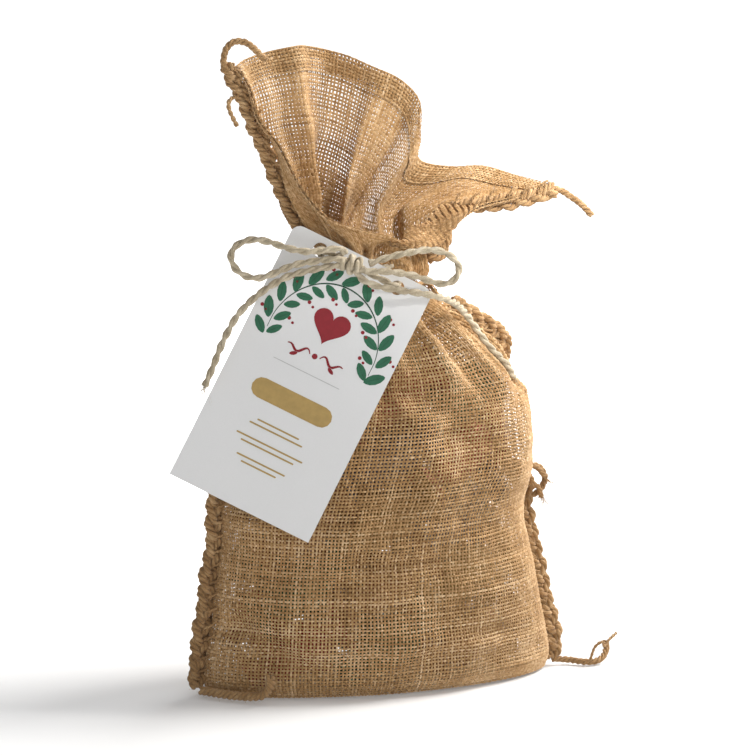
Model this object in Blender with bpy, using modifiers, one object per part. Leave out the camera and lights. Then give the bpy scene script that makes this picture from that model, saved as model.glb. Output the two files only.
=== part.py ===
"""A jute gift sack that stands on its base, filled with wrapped sweets.

One strip of hessian is folded under the base and sewn up both sides with an overlocked
seam. Its neck is gathered with two turns of jute twine, whose ends come forward through
the two holes of a card tag and are tied in a bow in front of the card. Above the tie the
hemmed mouth spreads: its back half stands up as a fan and its right corner falls outwards.

Metres, +Z up, the sack's front towards -Y. The origin is on the floor, under the middle
of the base. The tag's pieces are placed in the tag's own frame: p runs along its top edge,
q down its length, and n out of its printed face.
"""

import math

import bmesh
import bpy
from mathutils import Matrix, Vector

# Sizes of the materials
FABRIC = 0.0010
GAP = 0.0003
TWINE_RADIUS = 0.00155
SEAM_RADIUS = 0.0036
YARN_RADIUS = 0.0013
CARD = 0.0005

# The body's outline, from the floor up to the neck: (height, left edge, right edge, half depth,
# how far the right seam is drawn round towards the back)
BODY_OUTLINE = (
    (0.000, -0.0745, 0.0745, 0.0290, 0.000),
    (0.007, -0.0765, 0.0765, 0.0350, 0.000),
    (0.018, -0.0755, 0.0750, 0.0380, 0.000),
    (0.032, -0.0735, 0.0700, 0.0395, 0.001),
    (0.048, -0.0715, 0.0655, 0.0400, 0.002),
    (0.062, -0.0690, 0.0615, 0.0405, 0.003),
    (0.074, -0.0680, 0.0600, 0.0400, 0.006),
    (0.088, -0.0680, 0.0635, 0.0395, 0.012),
    (0.102, -0.0660, 0.0655, 0.0385, 0.017),
    (0.116, -0.0620, 0.0650, 0.0365, 0.018),
    (0.130, -0.0540, 0.0610, 0.0330, 0.013),
    (0.142, -0.0455, 0.0530, 0.0290, 0.007),
    (0.152, -0.0370, 0.0390, 0.0245, 0.003),
    (0.162, -0.0280, 0.0210, 0.0190, 0.000),
    (0.1705, -0.0220, 0.0070, 0.0150, 0.000),
)
BODY_TOP = BODY_OUTLINE[-1][0]
SIDE_CREASE = 1.25  # over 1 pulls the section to an edge at each side seam

SEAM_HEIGHTS = (
    0.0038, 0.012, 0.024, 0.038, 0.052, 0.066, 0.080, 0.094, 0.108, 0.120, 0.131, 0.141, 0.150, 0.158
)

# The neck and the tie round it
NECK_X = -0.008
NECK_RADIUS = 0.0138
NECK_LOW, NECK_HIGH = 0.1709, 0.1836
NECK_FLUTES = 14
FLUTE_DEPTH = 0.0009
TIE_HEIGHT = 0.1770
TIE_PITCH = 0.0034

# The mouth's edge, from the left seam to the right seam
MOUTH_LEFT = (-0.0620, 0.000, 0.2610)
MOUTH_RIGHT = (0.0770, -0.001, 0.2060)
MOUTH_BACK = (
    MOUTH_LEFT,
    (-0.0520, 0.008, 0.2640),
    (-0.0390, 0.016, 0.2655),
    (-0.0250, 0.021, 0.2660),
    (-0.0095, 0.022, 0.2630),
    (0.0040, 0.018, 0.2570),
    (0.0150, 0.010, 0.2510),
    (0.0210, 0.005, 0.2415),
    (0.0205, 0.009, 0.2295),
    (0.0225, 0.012, 0.2180),
    (0.0360, 0.009, 0.2145),
    (0.0500, 0.006, 0.2145),
    (0.0640, 0.003, 0.2100),
    MOUTH_RIGHT,
)
MOUTH_FRONT = (
    MOUTH_LEFT,
    (-0.0550, -0.006, 0.2460),
    (-0.0480, -0.010, 0.2290),
    (-0.0400, -0.014, 0.2140),
    (-0.0290, -0.016, 0.2010),
    (-0.0150, -0.017, 0.1950),
    (-0.0010, -0.019, 0.1900),
    (0.0100, -0.021, 0.1850),
    (0.0200, -0.018, 0.1860),
    (0.0300, -0.012, 0.1930),
    (0.0440, -0.008, 0.2000),
    (0.0600, -0.005, 0.2030),
    MOUTH_RIGHT,
)
FRILL_LOW = 0.1840
FRILL_SPREAD, FRILL_RISE = 0.0100, 0.0060
FLAP_RISE = 0.0180  # the fold at the right seam rises this much more than the others
FRILL_STRAIGHT = 0.40  # share of each fold, counted from the mouth, that runs straight
HEM_SHARE = 0.14
HEM_BACK_REACH = (-0.86, 0.06)  # the part of the back's edge that shows its hem, across the frill

# The tag, which faces up and to the left of the sack's front
TAG_WIDTH, TAG_LENGTH, TAG_CORNER = 0.0634, 0.1150, 0.0040
TAG_HOLE_RADIUS = 0.0030
TAG_HOLE_SPAN = 0.0352
TAG_HOLE_INSET = 0.0055
TAG_MIDDLE = Vector((-0.0164, -0.0225, 0.1789))  # halfway between the two holes
TAG_TURN, TAG_LEAN, TAG_TILT = math.radians(-22), math.radians(15), math.radians(26)
HINGE_OUT = 0.0053  # from the card to the bow's knot, which the tag swings on
KNOT_RADIUS, KNOT_HALF_LENGTH = 0.0044, 0.0058
SWINGING_PIECES = ("tag_card", "bow_strand_left", "bow_strand_right", "bow_loop_left", "bow_tail_left")
KNOT_LEFT = 0.0030  # how far the knot sits to the left of the tag's middle

# The sweets: two layers, each of five rows of three
SWEET_LENGTH, SWEET_RADIUS, SWEET_FLATNESS = 0.0370, 0.0082, 0.86
SWEET_ROWS = (0.0180, 0.0445, 0.0710, 0.0970, 0.1220)
SWEET_COLUMNS = (-0.52, 0.0, 0.52)
SWEET_DEPTHS = {"front": -0.33, "back": 0.33}
SWEET_TILT = math.radians(28)
SWEET_TINTS = (
    (0.62, 0.05, 0.06),
    (0.72, 0.50, 0.12),
    (0.08, 0.33, 0.16),
    (0.12, 0.27, 0.50),
    (0.75, 0.33, 0.08),
)

JUTE = (0.46, 0.30, 0.15)
SEAM_JUTE = (0.42, 0.28, 0.15)
TWINE = (0.58, 0.48, 0.34)
WHITE_CARD = (0.82, 0.82, 0.82)


def clear_scene():
    for thing in list(bpy.data.objects):
        bpy.data.objects.remove(thing)


def make_collection(name):
    group = bpy.data.collections.new(name)
    bpy.context.scene.collection.children.link(group)
    return group


def make_material(name, colour, roughness, metallic=0.0):
    material = bpy.data.materials.new(name)
    material.use_nodes = True
    shader = material.node_tree.nodes["Principled BSDF"]
    shader.inputs["Base Color"].default_value = (*colour, 1.0)
    shader.inputs["Roughness"].default_value = roughness
    shader.inputs["Metallic"].default_value = metallic
    return material


def add_object(group, name, data, material):
    thing = bpy.data.objects.new(name, data)
    data.materials.append(material)
    group.objects.link(thing)
    return thing


def catmull_rom(points, share):
    """The point at share (0 to 1) along an open smooth curve through evenly weighted points."""
    spans = len(points) - 1
    place = min(max(share, 0.0), 1.0) * spans
    i = min(int(place), spans - 1)
    t = place - i
    b, c = Vector(points[i]), Vector(points[i + 1])
    a = Vector(points[i - 1]) if i else b * 2 - c
    d = Vector(points[i + 2]) if i + 2 <= spans else c * 2 - b
    return 0.5 * (2 * b + (c - a) * t + (2 * a - 5 * b + 4 * c - d) * t**2 + (3 * b - a - 3 * c + d) * t**3)


def smooth_line(points, count):
    """count points along a smooth curve through the route's own points, evenly spaced."""
    fine = [catmull_rom(points, i / (16 * len(points))) for i in range(16 * len(points) + 1)]
    along = [0.0]
    for a, b in zip(fine, fine[1:]):
        along.append(along[-1] + (b - a).length)
    line, k = [], 0
    for i in range(count):
        target = along[-1] * i / (count - 1)
        while k < len(along) - 2 and along[k + 1] < target:
            k += 1
        share = (target - along[k]) / (along[k + 1] - along[k])
        line.append(fine[k].lerp(fine[k + 1], min(max(share, 0.0), 1.0)))
    return line


def body_section(height):
    """(left edge, right edge, half depth, right seam's set-back) of the body at a height."""
    rows = BODY_OUTLINE
    i = max(k for k, row in enumerate(rows[:-1]) if k == 0 or row[0] <= height)
    low, high = rows[i], rows[i + 1]
    share = (height - low[0]) / (high[0] - low[0])
    before, after = rows[max(i - 1, 0)], rows[min(i + 2, len(rows) - 1)]
    section = []
    for a, b, c, d in zip(before[1:], low[1:], high[1:], after[1:]):
        smooth = (c - a) * share + (2 * a - 5 * b + 4 * c - d) * share**2 + (3 * b - a - 3 * c + d) * share**3
        section.append(b + smooth / 2)
    return section


def body_point(side, across, height):
    """A point on the body: side -1 is the front and 1 the back, across runs from -1 to 1."""
    left, right, half_depth, set_back = body_section(height)
    turn = across * math.pi / 2
    bulge = max(math.cos(turn), 0.0) ** SIDE_CREASE
    x = (left + right) / 2 + (right - left) / 2 * math.sin(turn)
    y = side * (GAP / 2 + half_depth * bulge) + set_back * max(across, 0.0) ** 2
    return Vector((x, y, height))


def mouth_point(side, across):
    edge = MOUTH_BACK if side > 0 else MOUTH_FRONT
    point = catmull_rom(edge, (across + 1) / 2)
    point.y += side * GAP
    return point


def frill_point(side, across, share, inside=0.0):
    """A point on the mouth's frill: share 0 is at the tie and 1 at the mouth's edge."""
    turn = across * math.pi / 2
    out = Vector((math.sin(turn), side * math.cos(turn), 0.0))
    low = Vector((NECK_X, side * GAP, FRILL_LOW)) + out * NECK_RADIUS
    spread = FRILL_SPREAD * (0.4 if side < 0 else 0.8) + FRILL_SPREAD * 0.5 * abs(math.sin(turn))
    mouth = mouth_point(side, across)
    bend = low + out * spread + Vector((0, 0, FRILL_RISE + FLAP_RISE * max(math.sin(turn), 0.0) ** 2))
    straight = mouth.lerp(low, FRILL_STRAIGHT)
    keep = 1 - share
    point = keep**3 * low + 3 * keep**2 * share * bend + 3 * keep * share**2 * straight + share**3 * mouth
    return point - Vector((0, side, 0)) * inside


def add_sheet(group, name, point_at, columns, rows, material, facing):
    """A sheet of cloth: a grid of points, thickened away from its outer side."""
    builder = bmesh.new()
    grid = []
    for j in range(rows + 1):
        grid.append([builder.verts.new(point_at(i / columns, j / rows)) for i in range(columns + 1)])
    for j in range(rows):
        for i in range(columns):
            corners = [grid[j][i], grid[j][i + 1], grid[j + 1][i + 1], grid[j + 1][i]]
            builder.faces.new(corners if facing < 0 else corners[::-1])
    mesh = bpy.data.meshes.new(name)
    builder.to_mesh(mesh)
    builder.free()
    mesh.shade_smooth()
    thing = add_object(group, name, mesh, material)
    thickness = thing.modifiers.new("thickness", "SOLIDIFY")
    thickness.thickness = FABRIC
    thickness.offset = -1.0
    return thing


def add_body(group, jute):
    edge = 0.985  # each panel stops just short of the seam line

    def panel(side):
        return lambda i, j: body_point(side, (2 * i - 1) * edge, j * BODY_TOP)

    add_sheet(group, "front_panel", panel(-1), 22, 18, jute, -1)
    add_sheet(group, "back_panel", panel(1), 22, 18, jute, 1)


def add_base(group, jute):
    """The strip of cloth that lies flat on the floor between the two panels."""
    left, right, half_depth, _ = body_section(0.0)
    half_width = (right - left) / 2
    room = FABRIC * 1.5 + GAP
    outline = bpy.data.curves.new("base_panel", "CURVE")
    outline.dimensions = "2D"
    outline.fill_mode = "BOTH"
    outline.extrude = FABRIC / 2
    steps = 18
    spline = outline.splines.new("POLY")
    spline.points.add(2 * steps - 1)
    spline.use_cyclic_u = True
    for i in range(2 * steps):
        turn = math.pi * i / steps
        bulge = abs(math.sin(turn)) ** SIDE_CREASE
        x = (half_width - 2.2 * room) * math.cos(turn)
        y = math.copysign((half_depth - room) * bulge, math.sin(turn))
        spline.points[i].co = (x, y, 0.0, 1.0)
    thing = add_object(group, "base_panel", outline, jute)
    thing.location.z = FABRIC / 2


def add_neck(group, jute):
    """The cloth bunched under the tie, as a fluted plug."""
    ring = 3 * NECK_FLUTES
    builder = bmesh.new()
    levels = []
    for height in (NECK_LOW, NECK_HIGH):
        level = []
        for i in range(ring):
            turn = 2 * math.pi * i / ring
            radius = NECK_RADIUS - FLUTE_DEPTH * (0.5 - 0.5 * math.cos(NECK_FLUTES * turn))
            spot = (NECK_X + radius * math.cos(turn), radius * math.sin(turn), height)
            level.append(builder.verts.new(spot))
        levels.append(level)
    low, high = levels
    for i in range(ring):
        j = (i + 1) % ring
        builder.faces.new((low[i], low[j], high[j], high[i]))
    builder.faces.new(low[::-1])
    builder.faces.new(high)
    mesh = bpy.data.meshes.new("neck_gather")
    builder.to_mesh(mesh)
    builder.free()
    add_object(group, "neck_gather", mesh, jute)


def add_frill(group, jute):
    """The cloth above the tie, and the hem folded to its inner side."""
    edge = 0.975

    def frill(side):
        return lambda i, j: frill_point(side, (2 * i - 1) * edge, j)

    add_sheet(group, "frill_front", frill(-1), 26, 7, jute, -1)
    add_sheet(group, "frill_back", frill(1), 30, 9, jute, 1)
    inner = FABRIC + 2 * GAP + 0.0004

    low, high = HEM_BACK_REACH

    def hem(i, j):
        return frill_point(1, low + (high - low) * i, 1 - HEM_SHARE * (1 - j), inner)

    add_sheet(group, "hem_back", hem, 18, 2, jute, 1)


def add_tube(group, name, line, radius, material, sides=2):
    curve = bpy.data.curves.new(name, "CURVE")
    curve.dimensions = "3D"
    curve.bevel_depth = radius
    curve.bevel_resolution = sides
    curve.use_fill_caps = True
    spline = curve.splines.new("POLY")
    spline.points.add(len(line) - 1)
    for point, place in zip(spline.points, line):
        point.co = (*place, 1.0)
    return add_object(group, name, curve, material)


def seam_route(sign):
    """The side seam's line, just outside the two panels."""
    out = SEAM_RADIUS + GAP + 0.0004
    route = []
    for height in SEAM_HEIGHTS:
        edge = body_point(1, sign, height)
        slope = max(height - 0.125, 0.0) * 0.09
        route.append(edge + Vector((sign * (out + slope), 0.0, 0.0)))
    return route


def frill_seam_route(sign):
    """The seam's line above the tie, out to the mouth's corner."""
    lift = Vector((-0.55, 0.0, 0.20)) if sign < 0 else Vector((0.20, 0.0, -1.0))
    out = lift.normalized() * (SEAM_RADIUS + 0.0016)
    return [frill_point(1, sign, share) + out for share in (0.22, 0.36, 0.52, 0.68, 0.84, 0.97)]


def add_seams(group, seam):
    for sign, side in ((-1, "left"), (1, "right")):
        add_tube(group, f"seam_{side}_lower", smooth_line(seam_route(sign), 16), SEAM_RADIUS, seam)
        add_tube(group, f"seam_{side}_upper", smooth_line(frill_seam_route(sign), 11), SEAM_RADIUS, seam)


def add_seam_tails(group, seam):
    """Where the overlocker ran off the cloth, it left a tail of chained yarn at each corner."""
    routes = {
        "tail_mouth_left": (
            (-0.0665, -0.0005, 0.2670),
            (-0.0635, -0.0010, 0.2705),
            (-0.0590, -0.0025, 0.2725),
            (-0.0550, -0.0040, 0.2700),
            (-0.0515, -0.0055, 0.2660),
        ),
        "tail_mouth_right": (
            (0.0818, -0.0010, 0.2035),
            (0.0855, -0.0020, 0.2010),
            (0.0900, -0.0030, 0.1975),
            (0.0940, -0.0040, 0.1930),
        ),
        "tail_base_left": (
            (-0.0800, -0.0062, 0.0034),
            (-0.0745, -0.0130, 0.0032),
            (-0.0670, -0.0200, 0.0030),
            (-0.0600, -0.0255, 0.0040),
            (-0.0575, -0.0290, 0.0085),
            (-0.0580, -0.0310, 0.0135),
        ),
        "tail_base_right": (
            (0.0862, -0.0010, 0.0022),
            (0.0900, -0.0040, 0.0018),
            (0.0950, -0.0065, 0.0018),
            (0.1000, -0.0050, 0.0030),
            (0.1035, -0.0010, 0.0060),
            (0.1045, 0.0030, 0.0075),
        ),
        "seam_splice_loop": (
            (0.0715, 0.0060, 0.0860),
            (0.0750, 0.0060, 0.0850),
            (0.0772, 0.0055, 0.0805),
            (0.0752, 0.0050, 0.0740),
        ),
    }
    for name, route in routes.items():
        add_tube(group, name, smooth_line(route, 3 * len(route)), YARN_RADIUS, seam)


def tag_frame():
    """The tag's place: its columns are p, q and n, and its origin is halfway between the holes."""
    right = Vector((math.cos(TAG_TURN), math.sin(TAG_TURN), 0.0))
    level = Vector((math.sin(TAG_TURN), -math.cos(TAG_TURN), 0.0))
    out = level * math.cos(TAG_LEAN) + Vector((0, 0, math.sin(TAG_LEAN)))
    up = out.cross(right)
    along = right * math.cos(TAG_TILT) - up * math.sin(TAG_TILT)
    down = -right * math.sin(TAG_TILT) - up * math.cos(TAG_TILT)
    return along, down, out


def on_tag(p, q, n):
    along, down, out = tag_frame()
    return TAG_MIDDLE + along * p + down * q + out * n


def add_tag_card(group, card):
    """The card, with its top corners rounded and two punched holes."""
    outline = bpy.data.curves.new("tag_card", "CURVE")
    outline.dimensions = "2D"
    outline.fill_mode = "BOTH"
    outline.extrude = CARD / 2
    half = TAG_WIDTH / 2
    top, bottom = TAG_HOLE_INSET, TAG_HOLE_INSET - TAG_LENGTH
    corners = []
    for sign in (1, -1):
        for step in range(5):
            turn = math.radians(22.5 * step) if sign > 0 else math.radians(90 + 22.5 * step)
            x = sign * (half - TAG_CORNER) + TAG_CORNER * math.cos(turn)
            corners.append((x, top - TAG_CORNER + TAG_CORNER * math.sin(turn)))
    corners += [(-half, bottom), (half, bottom)]
    edges = [corners]
    for sign in (1, -1):
        turns = [2 * math.pi * i / 20 for i in range(20)]
        middle = sign * TAG_HOLE_SPAN / 2
        edges.append([(middle + TAG_HOLE_RADIUS * math.cos(t), TAG_HOLE_RADIUS * math.sin(t)) for t in turns])
    for edge in edges:
        spline = outline.splines.new("POLY")
        spline.points.add(len(edge) - 1)
        spline.use_cyclic_u = True
        for point, (x, y) in zip(spline.points, edge):
            point.co = (x, y, 0.0, 1.0)
    thing = add_object(group, "tag_card", outline, card)
    along, down, out = tag_frame()
    thing.matrix_world = Matrix.Translation(TAG_MIDDLE) @ Matrix((along, -down, out)).transposed().to_4x4()


def add_neck_turns(group, twine):
    """Two turns of twine round the neck, as one helix that ends at the back of the tag."""
    radius = NECK_RADIUS + GAP + TWINE_RADIUS + 0.0002
    turns, steps = 1.9, 58
    line = []
    for i in range(steps):
        turn = math.radians(-100) + 2 * math.pi * turns * i / (steps - 1)
        height = TIE_HEIGHT + TIE_PITCH * (i / (steps - 1) - 0.5) * turns
        line.append(Vector((NECK_X + radius * math.cos(turn), radius * math.sin(turn), height)))
    add_tube(group, "twine_neck_turns", line, TWINE_RADIUS, twine)


def add_bow(group, twine):
    """The bow in front of the card. The right loop and tail fall back onto the sack's shoulder."""
    middle = HINGE_OUT
    routes = {
        "bow_strand_left": [
            (-0.0176, -0.0005, -0.0030),
            (-0.0176, -0.0003, 0.0010),
            (-0.0160, 0.0000, 0.0034),
            (-0.0125, 0.0000, 0.0046),
            (-0.0093, 0.0000, middle),
        ],
        "bow_strand_right": [
            (0.0033, 0.0000, middle),
            (0.0090, 0.0000, 0.0048),
            (0.0145, 0.0000, 0.0036),
            (0.0176, -0.0003, 0.0010),
            (0.0176, -0.0005, -0.0030),
        ],
        "bow_loop_left": [
            (-0.0095, -0.0034, 0.0084),
            (-0.0190, 0.0026, 0.0098),
            (-0.0240, 0.0048, 0.0096),
            (-0.0306, 0.0062, 0.0086),
            (-0.0374, 0.0070, 0.0076),
            (-0.0440, 0.0092, 0.0066),
            (-0.0485, 0.0140, 0.0060),
            (-0.0488, 0.0187, 0.0060),
            (-0.0452, 0.0224, 0.0060),
            (-0.0397, 0.0236, 0.0062),
            (-0.0340, 0.0218, 0.0068),
            (-0.0296, 0.0176, 0.0072),
            (-0.0240, 0.0112, 0.0074),
            (-0.0175, 0.0062, 0.0074),
            (-0.0095, 0.0008, 0.0094),
        ],
        "bow_tail_left": [
            (-0.0095, 0.0046, 0.0072),
            (-0.0174, 0.0100, 0.0056),
            (-0.0236, 0.0155, 0.0050),
            (-0.0278, 0.0212, 0.0050),
            (-0.0312, 0.0272, 0.0050),
            (-0.0340, 0.0340, 0.0046),
            (-0.0358, 0.0415, 0.0040),
            (-0.0360, 0.0525, 0.0034),
            (-0.0352, 0.0625, 0.0030),
            (-0.0346, 0.0710, 0.0030),
        ],
        "bow_loop_right": [
            (0.0036, -0.0032, 0.0080),
            (0.0093, -0.0088, 0.0084),
            (0.0154, -0.0138, 0.0080),
            (0.0210, -0.0180, 0.0072),
            (0.0255, -0.0203, 0.0066),
            (0.0313, -0.0210, 0.0060),
            (0.0362, -0.0190, 0.0056),
            (0.0378, -0.0155, 0.0054),
            (0.0366, -0.0114, 0.0054),
            (0.0330, -0.0088, 0.0060),
            (0.0279, -0.0078, 0.0068),
            (0.0205, -0.0064, 0.0084),
            (0.0120, -0.0034, 0.0100),
            (0.0036, 0.0006, 0.0096),
        ],
        "bow_tail_right": [
            (0.0036, 0.0042, 0.0078),
            (0.0100, 0.0038, 0.0090),
            (0.0170, 0.0020, 0.0082),
            (0.0250, -0.0010, 0.0058),
            (0.0330, -0.0036, 0.0024),
            (0.0390, -0.0054, -0.0060),
            (0.0430, -0.0058, -0.0190),
            (0.0470, -0.0046, -0.0295),
            (0.0530, -0.0016, -0.0345),
            (0.0600, 0.0018, -0.0368),
            (0.0690, 0.0046, -0.0460),
            (0.0740, 0.0076, -0.0530),
        ],
    }
    counts = {"strand": 8, "loop": 20, "tail": 16}
    for name, route in routes.items():
        line = smooth_line([on_tag(*place) for place in route], counts[name.split("_")[1]])
        add_tube(group, name, line, TWINE_RADIUS, twine)


def add_leads(group, twine):
    """The two short lengths of twine between the neck's turns and the tag's holes."""
    radius = NECK_RADIUS + 3 * TWINE_RADIUS + 4 * GAP

    def beside_neck(degrees, height, further=0.0):
        turn = math.radians(degrees)
        reach = radius + further
        return Vector((NECK_X + reach * math.cos(turn), reach * math.sin(turn), height))

    left_end = on_tag(-TAG_HOLE_SPAN / 2, 0.0, -0.0052)
    right_end = on_tag(TAG_HOLE_SPAN / 2, 0.0, -0.0052)
    left = [beside_neck(178, 0.1765), beside_neck(192, 0.1775, 0.0006), beside_neck(204, 0.1800, 0.0018)]
    right = [beside_neck(-42, 0.1745), beside_neck(-56, 0.1735, 0.0008), beside_neck(-68, 0.1705, 0.0034)]
    left.append(left_end)
    right.append(right_end)
    add_tube(group, "twine_lead_left", smooth_line(left, 7), TWINE_RADIUS, twine)
    add_tube(group, "twine_lead_right", smooth_line(right, 8), TWINE_RADIUS, twine)


def add_knot(group, twine):
    bpy.ops.mesh.primitive_uv_sphere_add(segments=14, ring_count=8, radius=1.0)
    knot = bpy.context.object
    knot.name = "bow_knot"
    along, down, out = tag_frame()
    turn = Matrix((out, down, along)).transposed().to_4x4()
    size = Matrix.Diagonal((KNOT_RADIUS, KNOT_RADIUS, KNOT_HALF_LENGTH, 1.0))
    knot.data.transform(Matrix.Translation(on_tag(-KNOT_LEFT, 0.0, HINGE_OUT)) @ turn @ size)
    knot.data.materials.append(twine)
    knot.data.shade_smooth()
    for owner in list(knot.users_collection):
        owner.objects.unlink(knot)
    group.objects.link(knot)


def sweet_mesh():
    """A wrapped sweet, turned about its length: a plump middle and two twisted ends."""
    half = SWEET_LENGTH / 2
    outline = (
        (half, 0.0),
        (half, 0.62 * SWEET_RADIUS),
        (0.80 * half, 0.50 * SWEET_RADIUS),
        (0.69 * half, 0.28 * SWEET_RADIUS),
        (0.60 * half, 0.62 * SWEET_RADIUS),
        (0.44 * half, 0.92 * SWEET_RADIUS),
        (0.16 * half, SWEET_RADIUS),
    )
    outline += tuple((-height, radius) for height, radius in reversed(outline))
    mesh = bpy.data.meshes.new("sweet")
    points = [(radius, 0.0, height) for height, radius in outline]
    mesh.from_pydata(points, [(i, i + 1) for i in range(len(points) - 1)], [])
    return mesh


def add_sweets(group, wrappers):
    shape = sweet_mesh()
    number = 0
    for layer, depth in SWEET_DEPTHS.items():
        for row, height in enumerate(SWEET_ROWS):
            left, right, half_depth, _ = body_section(height)
            half_width, middle = (right - left) / 2, (left + right) / 2
            for column, place in enumerate(SWEET_COLUMNS):
                sweet = bpy.data.objects.new(f"sweet_{layer}_{row + 1}_{column + 1}", shape.copy())
                sweet.data.materials.append(wrappers[(2 * number + row) % len(wrappers)])
                group.objects.link(sweet)
                tilt = SWEET_TILT * (1 if layer == "front" else -1) + 0.10 * math.sin(2.4 * number)
                depth_here = depth * half_depth * (1.0 if place == 0.0 else 0.74)
                yaw = Matrix.Rotation(-place * 0.5 * math.copysign(1, depth), 4, "Z")
                lie = Matrix.Rotation(math.pi / 2 - tilt, 4, "Y")
                flat = Matrix.Diagonal((1.0, SWEET_FLATNESS, 1.0, 1.0))
                spot = Vector((middle + place * half_width, depth_here, height))
                sweet.matrix_world = Matrix.Translation(spot) @ yaw @ lie @ flat
                turned = sweet.modifiers.new("turned", "SCREW")
                turned.steps = turned.render_steps = 10
                turned.use_merge_vertices = True
                turned.merge_threshold = 0.00005
                number += 1


def hang_on_hinge(group, names):
    """Parent the pieces that swing with the tag to an empty on the line that they swing about."""
    along, down, out = tag_frame()
    hinge = bpy.data.objects.new("tag_swing", None)
    turn = Matrix((along, -down, out)).transposed().to_4x4()
    hinge.matrix_world = Matrix.Translation(on_tag(0.0, 0.0, HINGE_OUT)) @ turn
    group.objects.link(hinge)
    for name in names:
        piece = bpy.data.objects[name]
        piece.parent = hinge
        piece.matrix_parent_inverse = hinge.matrix_world.inverted()


def main():
    clear_scene()
    group = make_collection("fabric_gift_sack")
    jute = make_material("jute_fabric", JUTE, 0.90)
    seam = make_material("jute_seam_yarn", SEAM_JUTE, 0.92)
    twine = make_material("jute_twine", TWINE, 0.88)
    card = make_material("white_card", WHITE_CARD, 0.55)
    wrappers = [make_material(f"wrapper_{i + 1}", tint, 0.30, 0.6) for i, tint in enumerate(SWEET_TINTS)]
    add_body(group, jute)
    add_base(group, jute)
    add_neck(group, jute)
    add_frill(group, jute)
    add_seams(group, seam)
    add_seam_tails(group, seam)
    add_neck_turns(group, twine)
    add_leads(group, twine)
    add_tag_card(group, card)
    add_knot(group, twine)
    add_bow(group, twine)
    hang_on_hinge(group, SWINGING_PIECES)
    add_sweets(group, wrappers)


main()
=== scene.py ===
"""The jute gift sack as it looks: woven yarns, overlocked seams, plied twine and a printed tag.

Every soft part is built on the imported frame, in its frame: metres, +Z up, front towards -Y.
The cloth follows the CAD's own outline, with folds added, and each yarn of the weave is laid
along it.
"""

import math

import bpy
import numpy as np
from mathutils import Matrix, Vector


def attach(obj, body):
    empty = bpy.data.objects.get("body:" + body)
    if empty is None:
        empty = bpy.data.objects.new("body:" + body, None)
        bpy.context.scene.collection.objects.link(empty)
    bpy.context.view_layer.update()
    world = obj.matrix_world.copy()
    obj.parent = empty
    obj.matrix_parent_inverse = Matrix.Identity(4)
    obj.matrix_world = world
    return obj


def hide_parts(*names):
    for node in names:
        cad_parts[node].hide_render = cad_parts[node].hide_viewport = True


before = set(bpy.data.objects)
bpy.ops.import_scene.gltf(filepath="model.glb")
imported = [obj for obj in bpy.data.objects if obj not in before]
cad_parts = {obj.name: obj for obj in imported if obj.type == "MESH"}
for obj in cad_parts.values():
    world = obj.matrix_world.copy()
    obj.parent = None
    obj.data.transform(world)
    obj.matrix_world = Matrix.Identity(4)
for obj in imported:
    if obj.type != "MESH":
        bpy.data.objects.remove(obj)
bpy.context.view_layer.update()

# The camera: how far it is turned, raised and away, and how much it sees
CAMERA_TURN, CAMERA_RISE = math.radians(-20), math.radians(10)
CAMERA_DISTANCE = 2.2
VIEW_WIDTH = 0.3171
VIEW_MIDDLE = 0.1271

# The body's outline: (height, left edge, right edge, half depth, right seam's set-back)
BODY_OUTLINE = np.array((
    (0.000, -0.0745, 0.0745, 0.0290, 0.000),
    (0.007, -0.0765, 0.0765, 0.0350, 0.000),
    (0.018, -0.0755, 0.0750, 0.0380, 0.000),
    (0.032, -0.0735, 0.0715, 0.0395, 0.001),
    (0.048, -0.0715, 0.0685, 0.0400, 0.002),
    (0.062, -0.0690, 0.0652, 0.0405, 0.003),
    (0.074, -0.0680, 0.0640, 0.0400, 0.006),
    (0.088, -0.0680, 0.0660, 0.0395, 0.012),
    (0.102, -0.0660, 0.0658, 0.0385, 0.017),
    (0.116, -0.0620, 0.0655, 0.0365, 0.018),
    (0.130, -0.0540, 0.0610, 0.0330, 0.013),
    (0.142, -0.0455, 0.0530, 0.0290, 0.007),
    (0.152, -0.0370, 0.0390, 0.0245, 0.003),
    (0.162, -0.0280, 0.0210, 0.0190, 0.000),
    (0.1705, -0.0222, 0.0066, 0.0147, 0.000),
    (0.1780, -0.0214, 0.0054, 0.0134, 0.000),
))
SIDE_CREASE, FULL_SIDE, OVERHANG, FULL_SET_BACK = 1.25, 0.60, 0.0040, 0.017
GAP = 0.0003

# The mouth's edge, from the left seam to the right seam
MOUTH_LEFT = (-0.0620, 0.000, 0.2610)
MOUTH_RIGHT = (0.0770, -0.001, 0.2060)
MOUTH_BACK = (
    MOUTH_LEFT,
    (-0.0520, 0.008, 0.2640),
    (-0.0390, 0.016, 0.2655),
    (-0.0250, 0.021, 0.2660),
    (-0.0095, 0.022, 0.2630),
    (0.0040, 0.018, 0.2570),
    (0.0150, 0.010, 0.2510),
    (0.0210, 0.005, 0.2415),
    (0.0205, 0.009, 0.2295),
    (0.0225, 0.012, 0.2180),
    (0.0360, 0.009, 0.2145),
    (0.0500, 0.006, 0.2145),
    (0.0640, 0.003, 0.2100),
    MOUTH_RIGHT,
)
MOUTH_FRONT = (
    MOUTH_LEFT,
    (-0.0550, -0.006, 0.2460),
    (-0.0480, -0.010, 0.2290),
    (-0.0400, -0.014, 0.2140),
    (-0.0290, -0.016, 0.2010),
    (-0.0150, -0.017, 0.1950),
    (-0.0010, -0.019, 0.1900),
    (0.0100, -0.021, 0.1850),
    (0.0200, -0.018, 0.1860),
    (0.0300, -0.012, 0.1930),
    (0.0440, -0.008, 0.2000),
    (0.0600, -0.005, 0.2030),
    MOUTH_RIGHT,
)
NECK_X, NECK_RADIUS = -0.008, 0.0138
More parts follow.
